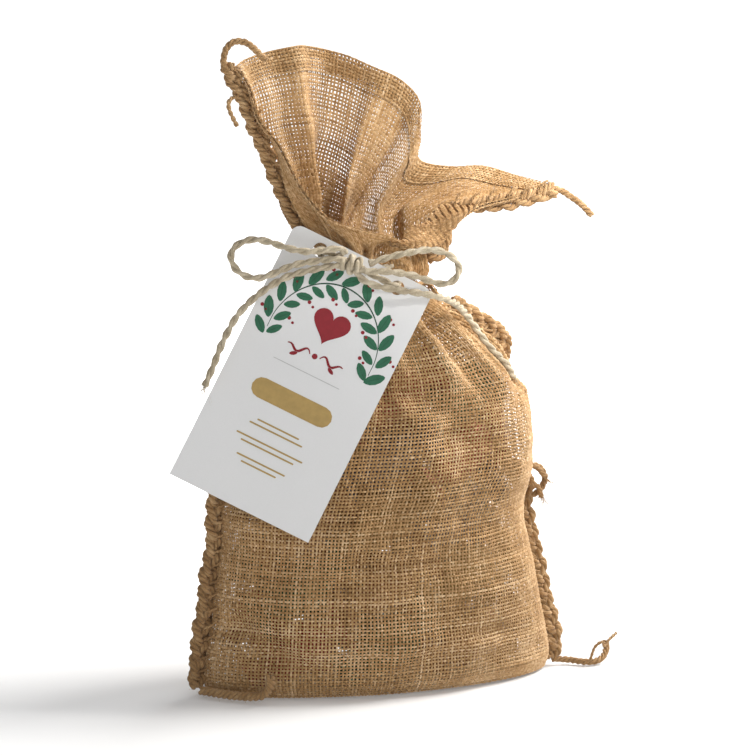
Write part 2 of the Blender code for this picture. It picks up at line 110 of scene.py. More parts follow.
FRILL_LOW, FRILL_HIDDEN = 0.1840, 0.0075
FRILL_SPREAD, FRILL_RISE, FLAP_RISE, FRILL_STRAIGHT = 0.0100, 0.0060, 0.0180, 0.40
TIE_HEIGHT, TIE_PITCH = 0.1770, 0.0034

# Yarns and twine
THREAD = 0.00155  # from one yarn of the weave to the next
YARN_WIDTH, YARN_LIFT, YARN_CROWN = 0.00084, 0.00026, 0.00028
FRONT_YARN_WIDTH, BACK_YARN_WIDTH = 0.94 * YARN_WIDTH, 1.25 * YARN_WIDTH
FRILL_YARN_WIDTH, BASE_YARN_WIDTH = 0.00092, 0.00085
HEM_WIDTH, HEM_LAYER = 0.0105, 0.0011
CLOTH_FOOT = 0.0012  # the height of the lowest cloth
TWINE_RADIUS, PLY_PITCH = 0.00155, 0.0115
TWINE_GAP, TWINE_DENT = 0.0004, 0.0070
HAIR_WIDTH, FRAYED_WIDTH = 0.00010, 0.00016
SEAM_RADIUS = 0.0036
FLOOR_GAP = 0.0001

# The tag's frame: p along its top edge, q down its length, n out of its printed face
TAG_HOLE_SPAN = 0.0352
TAG_MIDDLE = Vector((-0.0164, -0.0225, 0.1789))
TAG_TURN, TAG_LEAN, TAG_TILT = math.radians(-22), math.radians(15), math.radians(26)
HINGE_OUT, KNOT_LEFT = 0.0053, 0.0030
CARD_FACE = 0.00025


def lerp(a, b, share):
    return a + (b - a) * share


def smoothstep(low, high, x):
    share = np.clip((x - low) / (high - low), 0.0, 1.0)
    return share * share * (3 - 2 * share)


def cubic(rows, i, t):
    """The smooth curve through rows, at share t of the way on from row i + 1."""
    a, b, c, d = rows[i], rows[i + 1], rows[i + 2], rows[i + 3]
    square, cube = 2 * a - 5 * b + 4 * c - d, 3 * b - a - 3 * c + d
    return 0.5 * (2 * b + (c - a) * t + square * t**2 + cube * t**3)


def catmull_rom(points, share):
    """Points at share (0 to 1, any array) along an open smooth curve through points."""
    points = np.asarray(points, float)
    spans = len(points) - 1
    padded = np.vstack([2 * points[0] - points[1], points, 2 * points[-1] - points[-2]])
    place = np.clip(share, 0.0, 1.0) * spans
    i = np.minimum(place.astype(int), spans - 1)
    return cubic(padded, i, (place - i)[..., None])


def lengths_along(line):
    steps = np.linalg.norm(np.diff(line, axis=0), axis=1)
    return np.concatenate([[0.0], np.cumsum(steps)])


def even_line(line, count=None, step=0.0005):
    """The same line with points evenly spaced along it."""
    along = lengths_along(line)
    count = count or max(int(along[-1] / step) + 1, 4)
    wanted = np.linspace(0, along[-1], count)
    return np.stack([np.interp(wanted, along, line[:, k]) for k in range(3)], axis=1)


def smooth_line(points, count=None, step=0.0005):
    """Points evenly spaced along a smooth curve through the route's own points."""
    return even_line(catmull_rom(points, np.linspace(0, 1, 40 * len(points))), count, step)


def body_section(height):
    """Arrays of left edge, right edge, half depth and set-back at each height."""
    rows = np.vstack([BODY_OUTLINE[0], BODY_OUTLINE, BODY_OUTLINE[-1]])
    above = np.searchsorted(BODY_OUTLINE[:, 0], height, side="right")
    i = np.clip(above - 1, 0, len(BODY_OUTLINE) - 2)
    low, high = BODY_OUTLINE[i], BODY_OUTLINE[i + 1]
    section = cubic(rows, i, ((height - low[..., 0]) / (high[..., 0] - low[..., 0]))[..., None])
    return section[..., 1], section[..., 2], section[..., 3], section[..., 4]


def body_point(side, across, height):
    """The cloth at a height and a place across it, -1 at the left seam and 1 at the right seam.

    In front it hangs over where the right seam is set back.
    """
    left, right, half_depth, set_back = body_section(np.asarray(height, float) + 0 * across)
    turn = across * math.pi / 2
    full = np.clip(set_back / FULL_SET_BACK, 0, 1) * (side < 0)
    power = lerp(SIDE_CREASE, FULL_SIDE, full * smoothstep(0.0, 0.5, across))
    bulge = np.maximum(np.cos(turn), 0.0) ** power
    x = (left + right) / 2 + (right - left) / 2 * np.sin(turn)
    x = x + OVERHANG * full * smoothstep(0.35, 0.85, across) * (1 - smoothstep(0.90, 1.0, across))
    y = side * (GAP / 2 + half_depth * bulge) + set_back * np.maximum(across, 0.0) ** 2
    return np.stack([x, y, np.asarray(height, float) + 0 * across], axis=-1)


def frill_line(side, across, count=120):
    """The fold of cloth at across, from behind the tie out to the mouth's edge: (count, ..., 3)."""
    turn = across * math.pi / 2
    flat = 0 * across
    out = np.stack([np.sin(turn), side * np.cos(turn), flat], axis=-1)
    low = np.array((NECK_X, side * GAP, FRILL_LOW)) + out * NECK_RADIUS
    spread = FRILL_SPREAD * (0.4 if side < 0 else 0.8) + FRILL_SPREAD * 0.5 * np.abs(np.sin(turn))
    rise = FRILL_RISE + FLAP_RISE * np.maximum(np.sin(turn), 0.0) ** 2
    up = np.array((0.0, 0.0, 1.0))
    edge = MOUTH_BACK if side > 0 else MOUTH_FRONT
    mouth = catmull_rom(edge, (across + 1) / 2) + np.array((0, side * GAP, 0))
    bend = low + out * spread[..., None] + up * rise[..., None]
    straight = lerp(mouth, low, FRILL_STRAIGHT)
    s = np.linspace(0, 1, count).reshape((-1,) + (1,) * low.ndim)
    line = (1 - s) ** 3 * low + 3 * (1 - s) ** 2 * s * bend + 3 * (1 - s) * s**2 * straight + s**3 * mouth
    return np.concatenate([(low - up * FRILL_HIDDEN)[None], line])


def rumple(x, z, seed, wavelength):
    """Soft uneven bumps between about -1 and 1."""
    random = np.random.default_rng(seed)
    total = np.zeros_like(x)
    for _ in range(7):
        angle = random.uniform(0, math.pi)
        wave = 2 * math.pi / (wavelength * random.uniform(0.75, 1.6))
        total += np.sin(wave * (x * math.cos(angle) + z * math.sin(angle)) + random.uniform(0, 6.28))
    return total / 3.0


def crease(x, z, start, end, width, height):
    """A soft ridge (or, with a negative height, a valley) along the line from start to end."""
    ax, az = start
    dx, dz = end[0] - ax, end[1] - az
    share = np.clip(((x - ax) * dx + (z - az) * dz) / (dx * dx + dz * dz), 0, 1)
    away = np.hypot(x - ax - share * dx, z - az - share * dz)
    return height * np.exp(-((away / width) ** 2)) * (1 - 0.6 * share)


def grid_normals(grid, facing):
    along = np.gradient(grid, axis=1)
    down = np.gradient(grid, axis=0)
    normal = np.cross(along, down)
    normal /= np.maximum(np.linalg.norm(normal, axis=-1, keepdims=True), 1e-12)
    return normal if np.sum(normal @ np.array(facing, float)) > 0 else -normal


# The body's creases: (start, end, width, height), each end as (x, z)
FRONT_CREASES = (
    ((-0.004, 0.168), (0.022, 0.132), 0.0058, 0.0040),
    ((0.000, 0.130), (0.024, 0.117), 0.0050, -0.0034),
    ((0.008, 0.160), (0.036, 0.128), 0.0036, -0.0030),
    ((0.010, 0.165), (0.050, 0.128), 0.0042, 0.0026),
    ((0.020, 0.160), (0.058, 0.120), 0.0030, -0.0020),
    ((-0.012, 0.166), (-0.008, 0.120), 0.0040, -0.0030),
    ((-0.020, 0.164), (-0.034, 0.118), 0.0046, 0.0026),
    ((0.020, 0.108), (0.056, 0.098), 0.0060, -0.0020),
    ((-0.066, 0.030), (-0.040, 0.012), 0.0060, -0.0030),
    ((-0.020, 0.060), (0.045, 0.052), 0.0070, -0.0018),
    ((-0.060, 0.074), (-0.010, 0.066), 0.0070, 0.0016),
    ((0.066, 0.012), (0.030, 0.006), 0.0040, -0.0022),
    ((-0.010, 0.026), (0.040, 0.020), 0.0050, 0.0014),
)

TOWARDS_VIEWER = (0, -1, 0)

# The fan's folds, behind: (place along the mouth, width, rise towards the front low down, and at the rim)
FAN_FOLDS = (
    (0.050, 0.030, -0.0090, -0.0010),
    (0.190, 0.042, 0.0120, 0.0050),
    (0.310, 0.040, -0.0100, -0.0036),
    (0.425, 0.036, 0.0095, 0.0030),
    (0.520, 0.028, -0.0080, -0.0014),
    (0.620, 0.036, 0.0060, 0.0018),
    (0.760, 0.060, -0.0030, -0.0010),
)
# The folds of the mouth's front, in the same terms
RIM_FOLDS = (
    (0.120, 0.050, 0.0026, 0.0012),
    (0.260, 0.045, -0.0026, -0.0010),
    (0.400, 0.050, 0.0030, 0.0016),
    (0.560, 0.040, -0.0024, -0.0008),
    (0.720, 0.050, 0.0024, 0.0008),
)


def pleats(place, count, seed):
    """Uneven gathers across the cloth, between 0 and 1."""
    warp = 0.9 * np.sin(2 * math.pi * (1.7 * place + 0.37 * seed))
    warp = warp + 0.5 * np.sin(2 * math.pi * (3.9 * place + 0.71 * seed))
    return (0.5 + 0.5 * np.sin(2 * math.pi * count * place + warp + seed)) ** 1.5


def tuck(height):
    """How far the right seam is drawn in behind the bulge."""
    share = smoothstep(0.076, 0.094, height) * (1 - smoothstep(0.118, 0.140, height))
    return share[..., None] * np.array((-0.0080, 0.0085, 0.0))


def give_way(grid, normal, line):
    """The cloth gives way where twine lies on it."""
    apart = grid[:, :, None] - line
    outside = -np.einsum("ijkc,ijc->ijk", apart, normal)
    beside = np.sum(apart**2, axis=-1) - outside**2
    dent = np.maximum(TWINE_RADIUS + TWINE_GAP - outside, 0) * np.exp(-beside / TWINE_DENT**2)
    dent = np.where(outside > -2 * TWINE_DENT, dent, 0)
    return grid - normal * dent.max(axis=-1)[..., None]


def body_grid(side):
    """The body's cloth as a grid: rows run up from the floor, columns from left seam to right seam."""
    heights = np.concatenate([np.linspace(CLOTH_FOOT, 0.150, 112), np.linspace(0.1512, 0.1780, 26)])
    dense = np.linspace(-1, 1, 241)
    rows = []
    places = np.linspace(0, 1, 171)
    for height in heights:
        line = body_point(side, dense, height)
        along = lengths_along(line)
        across = np.interp(places * along[-1], along, dense)
        rows.append(body_point(side, across, height))
    grid = np.array(rows)
    x, z = grid[..., 0], grid[..., 2]
    place = np.broadcast_to(places, x.shape)
    grid = grid + tuck(z) * smoothstep(0.88, 1.0, place)[..., None]
    middle = np.sin(math.pi * place) ** 0.6
    low = smoothstep(0.0, 0.020, z)
    gathered = smoothstep(0.112, 0.168, z)
    tied = 1 - 0.80 * smoothstep(0.165, 0.1740, z)
    lift = 0.0013 * rumple(x, z, 5 + side, 0.030) * low * (1 - gathered) * middle
    lift += 0.0005 * rumple(x, z, 9 + side, 0.011) * low * middle
    lift += gathered * tied * (0.0056 * pleats(place, 7, 2 + side) - 0.0028)
    lift += smoothstep(0.09, 0.14, z) * tied * 0.0016 * (pleats(place, 3, 4 - side) - 0.5) * middle
    mirror = 1 if side < 0 else -1
    for start, end, width, height in FRONT_CREASES:
        lift += 1.35 * crease(mirror * x, z, start, end, width, height) * low * tied
    grid = grid + grid_normals(grid, (0, side, 0)) * lift[..., None]
    if side < 0:
        twine = smooth_line([on_tag(*place) for place in BOW["bow_tail_right"]], 60)
        grid = give_way(grid, grid_normals(grid, (0, side, 0)), twine)
    return grid


def sagging(place, share):
    """How far the slack cloth beside the knot hangs out over the tie, on the right."""
    slack = smoothstep(0.50, 0.80, place) * smoothstep(0.0, 0.13, share) * (1 - smoothstep(0.16, 0.50, share))
    return slack[..., None] * np.array((0.0115, -0.0020, -0.0105))


def frill_grid(side):
    """The mouth's cloth: rows run down from the mouth's edge, one each millimetre, columns left to right."""
    dense = np.linspace(-1, 1, 401)
    edge = frill_line(side, dense)[-1]
    along = lengths_along(edge)
    places = np.linspace(0, 1, 181)
    across = np.interp(places * along[-1], along, dense)
    lines = frill_line(side, across)
    depth = 94
    grid = np.zeros((depth, len(places), 3))
    inside = np.zeros((depth, len(places)), bool)
    share = np.zeros((depth, len(places)))
    for i in range(len(places)):
        line = lines[:, i]
        run = lengths_along(line)
        wanted = run[-1] - np.arange(depth) * 0.001
        inside[:, i] = wanted >= 0
        share[:, i] = np.clip(wanted / run[-1], 0, 1)
        for k in range(3):
            grid[:, i, k] = np.interp(wanted, run, line[:, k])
    place = np.broadcast_to(places, share.shape)
    ends = smoothstep(0.0, 0.03, place) * (1 - smoothstep(0.97, 1.0, place))
    near = smoothstep(0.02, 0.14, share) * (1 - smoothstep(0.30, 0.75, share))
    lift = ends * near * 0.0050 * (pleats(place, 7, 3) - 0.45)
    for middle, width, low, rim in FAN_FOLDS if side > 0 else RIM_FOLDS:
        fold = np.exp(-(((place - middle) / width) ** 2)) * lerp(low, rim, share)
        lift += fold * smoothstep(0.06, 0.36, share) * ends
    lift += 0.0008 * smoothstep(0.1, 0.3, share) * rumple(grid[..., 0], grid[..., 2], 21 + side, 0.020)
    grid = grid + grid_normals(grid, TOWARDS_VIEWER) * lift[..., None]
    return grid + sagging(place, share), inside


def sample(grid, rows, columns):
    """Points of a grid between its own points."""
    last_row, last_column = grid.shape[0] - 1, grid.shape[1] - 1
    rows, columns = np.clip(rows, 0, last_row), np.clip(columns, 0, last_column)
    i, j = np.minimum(rows.astype(int), last_row - 1), np.minimum(columns.astype(int), last_column - 1)
    s, t = rows - i, columns - j
    if grid.ndim == 3:
        s, t = s[..., None], t[..., None]
    low = grid[i, j] * (1 - t) + grid[i, j + 1] * t
    high = grid[i + 1, j] * (1 - t) + grid[i + 1, j + 1] * t
    return low * (1 - s) + high * s


def make_mesh(name, points, quads, material, tints=None):
    mesh = bpy.data.meshes.new(name)
    mesh.vertices.add(len(points))
    mesh.vertices.foreach_set("co", np.asarray(points, np.float32).ravel())
    mesh.loops.add(quads.size)
    mesh.loops.foreach_set("vertex_index", quads.astype(np.int32).ravel())
    mesh.polygons.add(len(quads))
    starts = np.arange(0, quads.size, quads.shape[1], dtype=np.int32)
    mesh.polygons.foreach_set("loop_start", starts)
    mesh.update(calc_edges=True)
    mesh.shade_smooth()
    if tints is not None:
        values = np.asarray(tints, np.float32).ravel()
        mesh.attributes.new("tint", "FLOAT", "POINT").data.foreach_set("value", values)
    mesh.materials.append(material)
    thing = bpy.data.objects.new(name, mesh)
    bpy.context.scene.collection.objects.link(thing)
    return thing


def doubled(place, depth):
    """How much denser the fan's cloth looks where a fold lies on itself. depth is 1 at the neck."""
    dense = np.exp(-(((place - 0.19) / 0.050) ** 2)) + np.exp(-(((place - 0.475) / 0.055) ** 2))
    dense = np.clip(dense + smoothstep(0.55, 0.66, place), 0, 1)
    return 1 + 0.40 * dense + 0.55 * smoothstep(0.42, 0.62, depth)


def crowded(place, height):
    """How the body's yarns crowd together towards the neck, and at the side seams."""
    edge = 1 - smoothstep(0.0, 0.07, np.minimum(place, 1 - place))
    return 1 + 0.35 * smoothstep(0.80, 0.93, height) + 0.16 * edge


def close_set(place, height):
    """The front's yarns close up further where the cloth turns away towards the seams."""
    right, left = smoothstep(0.76, 0.88, place), 1 - smoothstep(0.08, 0.20, place)
    return crowded(place, height) + 0.30 * right + 0.18 * left


def yarns(grid, normal, inside, lines, crossings, along_rows, random, width, layer, density):
    """One direction of the weave, as arched ribbons: a yarn on each line, bent at each crossing.

    Returns the points (yarn, ring, 3, xyz), whether each ring is kept, and the tints.
    """
    count = len(lines)
    rings = np.empty(2 * len(crossings) - 1)
    rings[0::2] = crossings
    rings[1::2] = (crossings[:-1] + crossings[1:]) / 2
    spacing = np.mean(np.abs(np.diff(lines)))
    steps = np.arange(len(rings))
    waves = []
    for _ in range(3):
        rate = random.uniform(0.02, 0.12, (count, 1))
        waves.append(np.sin(steps[None] * rate + random.uniform(0, 6.28, (count, 1))))
    wander = spacing * (0.045 * waves[0] + 0.03 * waves[1] + random.normal(0, 0.03, (count, 1)))
    place = lines[:, None] + wander
    run = np.broadcast_to(rings[None], place.shape)
    rows, columns = (run, place) if along_rows else (place, run)
    centre = sample(grid, rows, columns)
    out = sample(normal, rows, columns)
    out = out / np.maximum(np.linalg.norm(out, axis=-1, keepdims=True), 1e-9)
    step = 0.5 * spacing
    if along_rows:
        cross = sample(grid, rows, columns + step) - sample(grid, rows, columns - step)
    else:
        cross = sample(grid, rows + step, columns) - sample(grid, rows - step, columns)
    pitch = np.linalg.norm(cross, axis=-1, keepdims=True)
    cross = cross / np.maximum(pitch, 1e-9)
    slub = 1 + 0.08 * random.normal(0, 1, (count, 1)) + 0.08 * waves[2]
    slub = slub + 0.06 * random.normal(0, 1, place.shape)
    if density is not None:
        slub = slub * density(columns / (grid.shape[1] - 1), rows / (grid.shape[0] - 1))
    half = np.minimum(0.5 * width * slub[..., None], 0.47 * pitch)
    over = np.zeros(len(rings))
    over[0::2] = 1 - 2 * (np.arange(len(crossings)) % 2)
    over = over[None] * (1 - 2 * (np.arange(count)[:, None] % 2)) * (1 if along_rows else -1)
    base = centre + out * (YARN_LIFT * over[..., None] + layer)
    crown = out * (YARN_CROWN * half / (0.5 * width))
    points = np.stack([base - cross * half, base + crown, base + cross * half], axis=2)
    tint = 0.5 + 0.08 * random.normal(0, 1, (count, 1)) + 0.06 * waves[0]
    tint = tint + 0.11 * random.normal(0, 1, place.shape)
    kept = sample(inside.astype(float), rows, columns) > 0.99
    return points, kept, np.repeat(tint[..., None], 3, axis=2)


def ribbon_quads(count, rings, kept, first):
    index = first + np.arange(count * rings * 3).reshape(count, rings, 3)
    quads = np.stack([index[:, :-1, :-1], index[:, :-1, 1:], index[:, 1:, 1:], index[:, 1:, :-1]], axis=-1)
    live = (kept[:, :-1] & kept[:, 1:])[..., None] & np.ones((1, 1, 2), bool)
    return quads[live]


def weave(name, grid, inside, warps, wefts, facing, material, seed,
          width=YARN_WIDTH, layer=0.0, density=None):
    """Cloth woven over and under, with warps at these columns and wefts at these rows of the grid."""
    random = np.random.default_rng(seed)
    normal = grid_normals(grid, facing)
    look = (random, width, layer, density)
    warp, warp_kept, warp_tint = yarns(grid, normal, inside, warps, wefts, True, *look)
    weft, weft_kept, weft_tint = yarns(grid, normal, inside, wefts, warps, False, *look)
    first = warp.shape[0] * warp.shape[1] * 3
    quads = np.concatenate([
        ribbon_quads(*warp.shape[:2], warp_kept, 0),
        ribbon_quads(*weft.shape[:2], weft_kept, first),
    ])
    points = np.concatenate([warp.reshape(-1, 3), weft.reshape(-1, 3)])
    tints = np.concatenate([warp_tint.ravel(), weft_tint.ravel()])
    used = np.unique(quads)
    renumber = np.zeros(len(points), int)
    renumber[used] = np.arange(len(used))
    return make_mesh(name, points[used], renumber[quads], material, tints[used])


def frames_along(line, facing=(0.3, -1.0, 0.2)):
    """Unit vectors (sideways, outwards) that turn smoothly along a line."""
    tangent = np.gradient(line, axis=0)
    tangent /= np.linalg.norm(tangent, axis=1, keepdims=True)
    out = np.array(facing, float)
    outs = []
    for direction in tangent:
        out = out - direction * out.dot(direction)
        out /= np.linalg.norm(out)
        outs.append(out)
    outs = np.array(outs)
    return np.cross(tangent, outs), outs


def tube(line, radius, sides=6):
    """(points, quads) of a tube along a line. radius is one number or one for each point."""
    sideways, out = frames_along(line)
    radius = np.broadcast_to(radius, len(line))[:, None, None]
    turn = np.arange(sides) * 2 * math.pi / sides
    ring = np.cos(turn)[None, :, None] * sideways[:, None] + np.sin(turn)[None, :, None] * out[:, None]
    points = (line[:, None] + ring * radius).reshape(-1, 3)
    index = np.arange(len(line) * sides).reshape(len(line), sides)
    after = np.roll(index, -1, axis=1)
    quads = np.stack([index[:-1], after[:-1], after[1:], index[1:]], axis=-1).reshape(-1, 4)
    caps = []
    for end in (index[0][::-1], index[-1]):
        caps += [(end[0], end[i], end[i + 1], end[i + 2]) for i in range(1, sides - 2, 2)]
    return points, np.concatenate([quads, np.array(caps)])


def join(parts):
    points, quads, first = [], [], 0
    for part_points, part_quads in parts:
        points.append(part_points)
        quads.append(part_quads + first)
        first += len(part_points)
    return np.concatenate(points), np.concatenate(quads)


def fibre(root, bend, tip, wide):
    """(points, quads) of one loose fibre: a thin ribbon with one bend."""
    points = [root - wide, root + wide, bend + wide, bend - wide, tip + wide, tip - wide]
    return np.array(points), np.array([(0, 1, 2, 3), (3, 2, 4, 5)])


def hairs(line, radius, count, reach, random):
    """Loose fibres that stand off a yarn, as thin ribbons."""
    sideways, out = frames_along(line)
    tangent = np.gradient(line, axis=0)
    tangent /= np.linalg.norm(tangent, axis=1, keepdims=True)
    parts = []
    for _ in range(count):
        i = random.integers(0, len(line))
        angle = random.uniform(0, 2 * math.pi)
        away = sideways[i] * math.cos(angle) + out[i] * math.sin(angle)
        lean = tangent[i] * random.uniform(-1.6, 1.6)
        length = reach * random.uniform(0.3, 1.0)
        root = line[i] + away * radius * 0.8
        bend = root + (away * 0.5 + lean * 0.5) * length * 0.6
        tip = root + (away * 0.7 + lean + sideways[i] * random.uniform(-0.5, 0.5)) * length * 0.6
        wide = np.cross(tip - root, away)
        wide = wide / max(np.linalg.norm(wide), 1e-9) * HAIR_WIDTH / 2
        parts.append(fibre(root, bend, tip, wide))
    return parts


def plied(line, radius=TWINE_RADIUS, pitch=PLY_PITCH, fuzz=30, seed=1, plies=2, hair=0.0022):
    """Twine laid up from plies, with loose fibres. fuzz is the number of fibres for each centimetre."""
    random = np.random.default_rng(seed)
    line = even_line(line, step=0.0004)
    along = lengths_along(line)
    sideways, out = frames_along(line)
    parts = []
    share = 0.42 if plies == 2 else 0.54
    for ply in range(plies):
        turn = 2 * math.pi * (along / pitch + ply / plies)
        centre = line + (sideways * np.cos(turn)[:, None] + out * np.sin(turn)[:, None]) * radius * share
        uneven = 1 + 0.06 * np.sin(along * 900 + ply) + 0.05 * np.sin(along * 2300)
        size = radius * (1 - share) * (1.02 if plies == 2 else 1.08) * uneven
        parts.append(tube(centre, size, 7))
    parts += hairs(line, radius, int(fuzz * along[-1] * 100), hair, random)
    return join(parts)


def piece(name, geometry, material, body, nodes=()):
    points, quads = geometry
    random = np.random.default_rng(len(points))
    tints = 0.5 + 0.12 * rumple(points[:, 0], points[:, 2], 3, 0.006)
    tints = tints + 0.05 * random.normal(0, 1, len(points))
    thing = make_mesh(name, points, quads, material, tints)
    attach(thing, body)
    if nodes:
        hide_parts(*nodes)
    return thing


def node(tree, kind, **settings):
    made = tree.nodes.new(kind)
    for key, value in settings.items():
        if hasattr(made, key):
            setattr(made, key, value)
        else:
            made.inputs[key].default_value = value
    return made


def new_material(name, roughness):
    """A material, its node tree and its shader."""
    material = bpy.data.materials.new(name)
    material.use_nodes = True
    shader = material.node_tree.nodes["Principled BSDF"]
    shader.inputs["Roughness"].default_value = roughness
    return material, material.node_tree, shader


def colour_by(tree, shader, value, stops):
    """Colours the shader by a value, along a ramp through (position, colour) stops."""
    ramp = node(tree, "ShaderNodeValToRGB")
    elements = ramp.color_ramp.elements
    for element, (position, colour) in ((elements[0], stops[0]), (elements[1], stops[-1])):
        element.position = position
        element.color = (*colour, 1)
    for position, colour in stops[1:-1]:
        elements.new(position).color = (*colour, 1)
    tree.links.new(value, ramp.inputs["Fac"])
    tree.links.new(ramp.outputs["Color"], shader.inputs["Base Color"])


def roughen(tree, shader, height, strength, depth):
    bump = node(tree, "ShaderNodeBump", Strength=strength, Distance=depth)
    tree.links.new(height, bump.inputs["Height"])
    tree.links.new(bump.outputs["Normal"], shader.inputs["Normal"])


def fibre_material(name, dark, middle, light, roughness=0.9, grain=1400.0, depth=0.0004, patchy=60.0):
    """Jute: uneven straw colours from yarn to yarn, with fine fibres in its surface."""
    material, tree, shader = new_material(name, roughness)
    place = node(tree, "ShaderNodeTexCoord")
    tint = node(tree, "ShaderNodeAttribute", attribute_name="tint")
    patches = node(tree, "ShaderNodeTexNoise", Scale=patchy, Detail=3.0)
    fibres = node(tree, "ShaderNodeTexNoise", Scale=grain, Detail=2.0, Roughness=0.7)
    for texture in (patches, fibres):
        tree.links.new(place.outputs["Object"], texture.inputs["Vector"])
    total = node(tree, "ShaderNodeMath", operation="MULTIPLY_ADD")
    total.inputs[1].default_value = 0.6
    tree.links.new(patches.outputs["Fac"], total.inputs[0])
    tree.links.new(tint.outputs["Fac"], total.inputs[2])
    more = node(tree, "ShaderNodeMath", operation="MULTIPLY_ADD")
    more.inputs[1].default_value = 0.35
    tree.links.new(fibres.outputs["Fac"], more.inputs[0])
    tree.links.new(total.outputs[0], more.inputs[2])
    scaled = node(tree, "ShaderNodeMapRange")
    scaled.inputs["From Min"].default_value = 0.50
    scaled.inputs["From Max"].default_value = 1.45
    tree.links.new(more.outputs[0], scaled.inputs["Value"])
    colour_by(tree, shader, scaled.outputs["Result"], ((0.0, dark), (0.5, middle), (1.0, light)))
    roughen(tree, shader, fibres.outputs["Fac"], 0.7, depth)
    shader.inputs["Specular IOR Level"].default_value = 0.25
    shader.inputs["Sheen Weight"].default_value = 0.15
    return material


def plain_material(name, colour, roughness, metallic=0.0, grain=0.0, depth=0.0, uneven=1.0):
    """A colour with a faint uneven grain."""
    material, tree, shader = new_material(name, roughness)
    shader.inputs["Metallic"].default_value = metallic
    place = node(tree, "ShaderNodeTexCoord")
    noise = node(tree, "ShaderNodeTexNoise", Scale=grain, Detail=4.0)
    tree.links.new(place.outputs["Object"], noise.inputs["Vector"])
    darker = [c * (1 - 0.10 * uneven) for c in colour]
    lighter = [c * (1 + 0.06 * uneven) for c in colour]
    colour_by(tree, shader, noise.outputs["Fac"], ((0.3, darker), (0.7, lighter)))
    roughen(tree, shader, noise.outputs["Fac"], 1.0, depth)
    return material


def tag_frame():
    """Unit vectors along the tag's top edge, down its length and out of its printed face."""
    right = Vector((math.cos(TAG_TURN), math.sin(TAG_TURN), 0.0))
    level = Vector((math.sin(TAG_TURN), -math.cos(TAG_TURN), 0.0))
    out = level * math.cos(TAG_LEAN) + Vector((0, 0, math.sin(TAG_LEAN)))
    up = out.cross(right)
    along = right * math.cos(TAG_TILT) - up * math.sin(TAG_TILT)
    down = -right * math.sin(TAG_TILT) - up * math.cos(TAG_TILT)
    return np.array(along), np.array(down), np.array(out)


def on_tag(p, q, n):
    """The point at p, q, n in the tag's frame."""
    along, down, out = tag_frame()
    return np.array(TAG_MIDDLE) + along * p + down * q + out * n


# --- Camera, light and stage ---

def add_camera():
    out = Vector((
        math.sin(CAMERA_TURN) * math.cos(CAMERA_RISE),
        -math.cos(CAMERA_TURN) * math.cos(CAMERA_RISE),
        math.sin(CAMERA_RISE),
    ))
    right = Vector((math.cos(CAMERA_TURN), math.sin(CAMERA_TURN), 0.0))
    up = out.cross(right)
    lens = bpy.data.cameras.new("camera")
    lens.sensor_width = 36.0
    lens.lens = 18.0 * CAMERA_DISTANCE / (VIEW_WIDTH / 2)
    camera = bpy.data.objects.new("camera", lens)
    place = Matrix.Translation(up * VIEW_MIDDLE + out * CAMERA_DISTANCE)
    camera.matrix_world = place @ Matrix((right, up, out)).transposed().to_4x4()
    bpy.context.scene.collection.objects.link(camera)
    bpy.context.scene.camera = camera


def add_light(name, kind, place, target, power, colour=(1.0, 1.0, 1.0)):
    lamp = bpy.data.lights.new(name, kind)
    lamp.energy = power
    lamp.color = colour
    thing = bpy.data.objects.new(name, lamp)
    turn = (Vector(place) - Vector(target)).to_track_quat("Z", "Y")
    thing.matrix_world = Matrix.Translation(place) @ turn.to_matrix().to_4x4()
    bpy.context.scene.collection.objects.link(thing)
    return lamp


def add_area_light(name, place, target, size, power, colour=(1.0, 1.0, 1.0)):
    lamp = add_light(name, "AREA", place, target, power, colour)
    lamp.shape = "DISK"
    lamp.size = size


def add_world():
    """A soft surround, bright to the right and above, dim to the left and in front."""
    scene = bpy.context.scene
    scene.view_settings.view_transform = "Standard"
    scene.world = scene.world or bpy.data.worlds.new("studio")
    scene.world.use_nodes = True
    tree = scene.world.node_tree
    background = tree.nodes["Background"]
    background.inputs["Color"].default_value = (1.0, 1.0, 1.0, 1.0)
    place = node(tree, "ShaderNodeTexCoord")
    towards = node(tree, "ShaderNodeVectorMath", operation="DOT_PRODUCT")
    towards.inputs[1].default_value = (0.72, -0.05, 0.69)
    tree.links.new(place.outputs["Generated"], towards.inputs[0])
    strength = node(tree, "ShaderNodeMapRange")
    strength.inputs["From Min"].default_value = -0.6
    strength.inputs["From Max"].default_value = 1.0
    strength.inputs["To Min"].default_value = 0.06
    strength.inputs["To Max"].default_value = 0.60
    tree.links.new(towards.outputs["Value"], strength.inputs["Value"])
    tree.links.new(strength.outputs["Result"], background.inputs["Strength"])


def add_lamps():
    """A warm key from the right, a light behind, a weak fill and a narrow spot on the mouth."""
    add_area_light("key", (1.02, -0.06, 1.08), (0.0, 0.0, 0.12), 0.80, 31.5, (1.0, 0.985, 0.96))
    add_area_light("back_right", (0.70, 0.65, 0.55), (0.0, 0.0, 0.14), 0.50, 6.0)
    add_area_light("fill", (-0.40, -1.30, 0.75), (0.0, 0.0, 0.12), 0.90, 2.2)
    place, target, colour = (0.42, -1.02, 1.05), (0.068, 0.0, 0.226), (1.0, 0.99, 0.97)
    snoot = add_light("snoot", "SPOT", place, target, 130.0, colour)
    snoot.spot_size = math.radians(8.0)
    snoot.spot_blend = 1.0
    snoot.shadow_soft_size = 0.05


